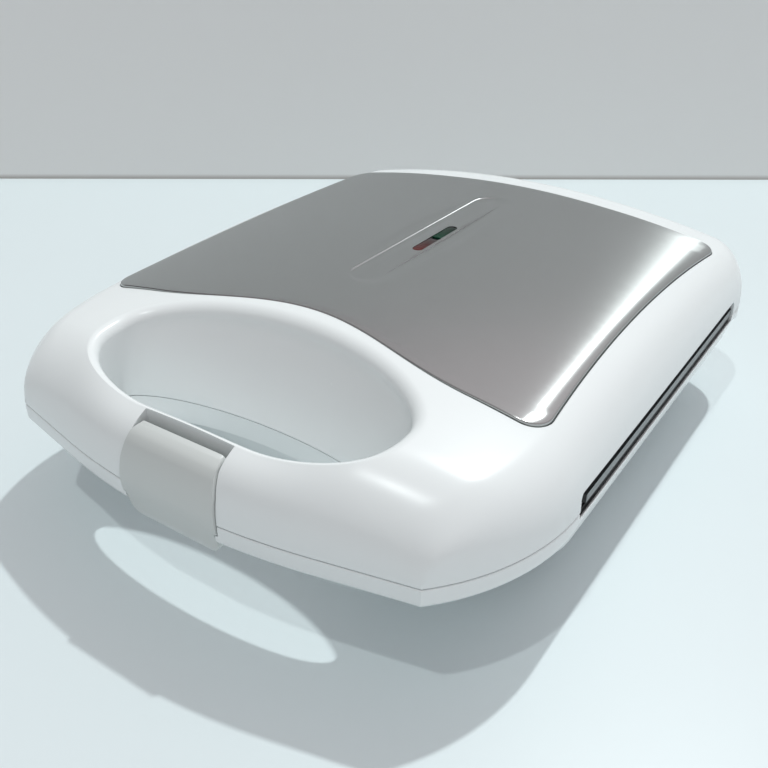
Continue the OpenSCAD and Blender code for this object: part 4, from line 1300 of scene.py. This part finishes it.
plane("table", [(-ROOM, -ROOM, 0), (ROOM, -ROOM, 0), (ROOM, ROOM, 0), (-ROOM, ROOM, 0)], white_laminate())
wall_foot = CAMERA_SPOT + ahead * WALL_DISTANCE
wall_foot.z = 0
wall_left, wall_right = wall_foot - across * ROOM, wall_foot + across * ROOM
wall_rise = Vector((0, 0, WALL_H))
plane("wall", [wall_left, wall_right, wall_right + wall_rise, wall_left + wall_rise], painted_wall())

# ---- Lamps and room light ----


def lamp(name, spot, size, power):
    """A round lamp that faces the toaster."""
    light = bpy.data.lights.new(name, "AREA")
    light.shape = "DISK"
    light.size = size
    light.energy = power
    light.color = linear("#F4FBFB")[:3]
    holder = bpy.data.objects.new(name, light)
    holder.location = spot
    holder.rotation_mode = "QUATERNION"
    holder.rotation_quaternion = (Vector((0, 0, 0.05)) - Vector(spot)).to_track_quat("-Z", "Y")
    bpy.context.scene.collection.objects.link(holder)


lamp("rear_lamp", (0.09, 1.93, 3.8), 0.12, 84)
lamp("front_lamp", (0, -1.42, 3.8), 0.14, 25)

world = bpy.data.worlds.new("room")
world.use_nodes = True
bpy.context.scene.world = world
background = world.node_tree.nodes["Background"]
background.inputs["Color"].default_value = linear("#F6F0F3")
direction = add_node(world, "ShaderNodeTexCoord").outputs["Generated"]
# the room is brighter on the right and towards its ceiling
slope = add_node(
    world, "ShaderNodeVectorMath", links={0: direction}, values={1: (0.24, 0, 0.24)}, operation="DOT_PRODUCT"
)
level = add_node(world, "ShaderNodeMath", links={0: slope.outputs["Value"]}, values={1: 0.3}, operation="ADD")
# and a broad bright part of the ceiling behind the toaster shows in the steel
ceiling = add_node(
    world, "ShaderNodeVectorMath", links={0: direction}, values={1: (-0.1, 0.68, 0.73)}, operation="DOT_PRODUCT"
)
above = add_node(
    world, "ShaderNodeMath", links={0: ceiling.outputs["Value"]}, values={1: 0}, operation="MAXIMUM"
)
broad = add_node(world, "ShaderNodeMath", links={0: above.outputs["Value"]}, values={1: 5}, operation="POWER")
total = add_node(
    world, "ShaderNodeMath", links={0: broad.outputs["Value"], 2: level.outputs["Value"]}, values={1: 0.35},
    operation="MULTIPLY_ADD",
)
world.node_tree.links.new(total.outputs["Value"], background.inputs["Strength"])

# ---- Camera ----

camera_data = bpy.data.cameras.new("camera")
camera_data.sensor_width = 36
camera_data.lens = 41.40
camera = bpy.data.objects.new("camera", camera_data)
bpy.context.scene.collection.objects.link(camera)
forward = Vector((-math.sin(YAW) * math.cos(PITCH), math.cos(YAW) * math.cos(PITCH), -math.sin(PITCH)))
upward = across.cross(forward)
right = math.cos(ROLL) * across + math.sin(ROLL) * upward
up = -math.sin(ROLL) * across + math.cos(ROLL) * upward
camera.matrix_world = Matrix.Translation(CAMERA_SPOT) @ Matrix((right, up, -forward)).transposed().to_4x4()
bpy.context.scene.camera = camera
bpy.context.scene.view_settings.view_transform = "Standard"
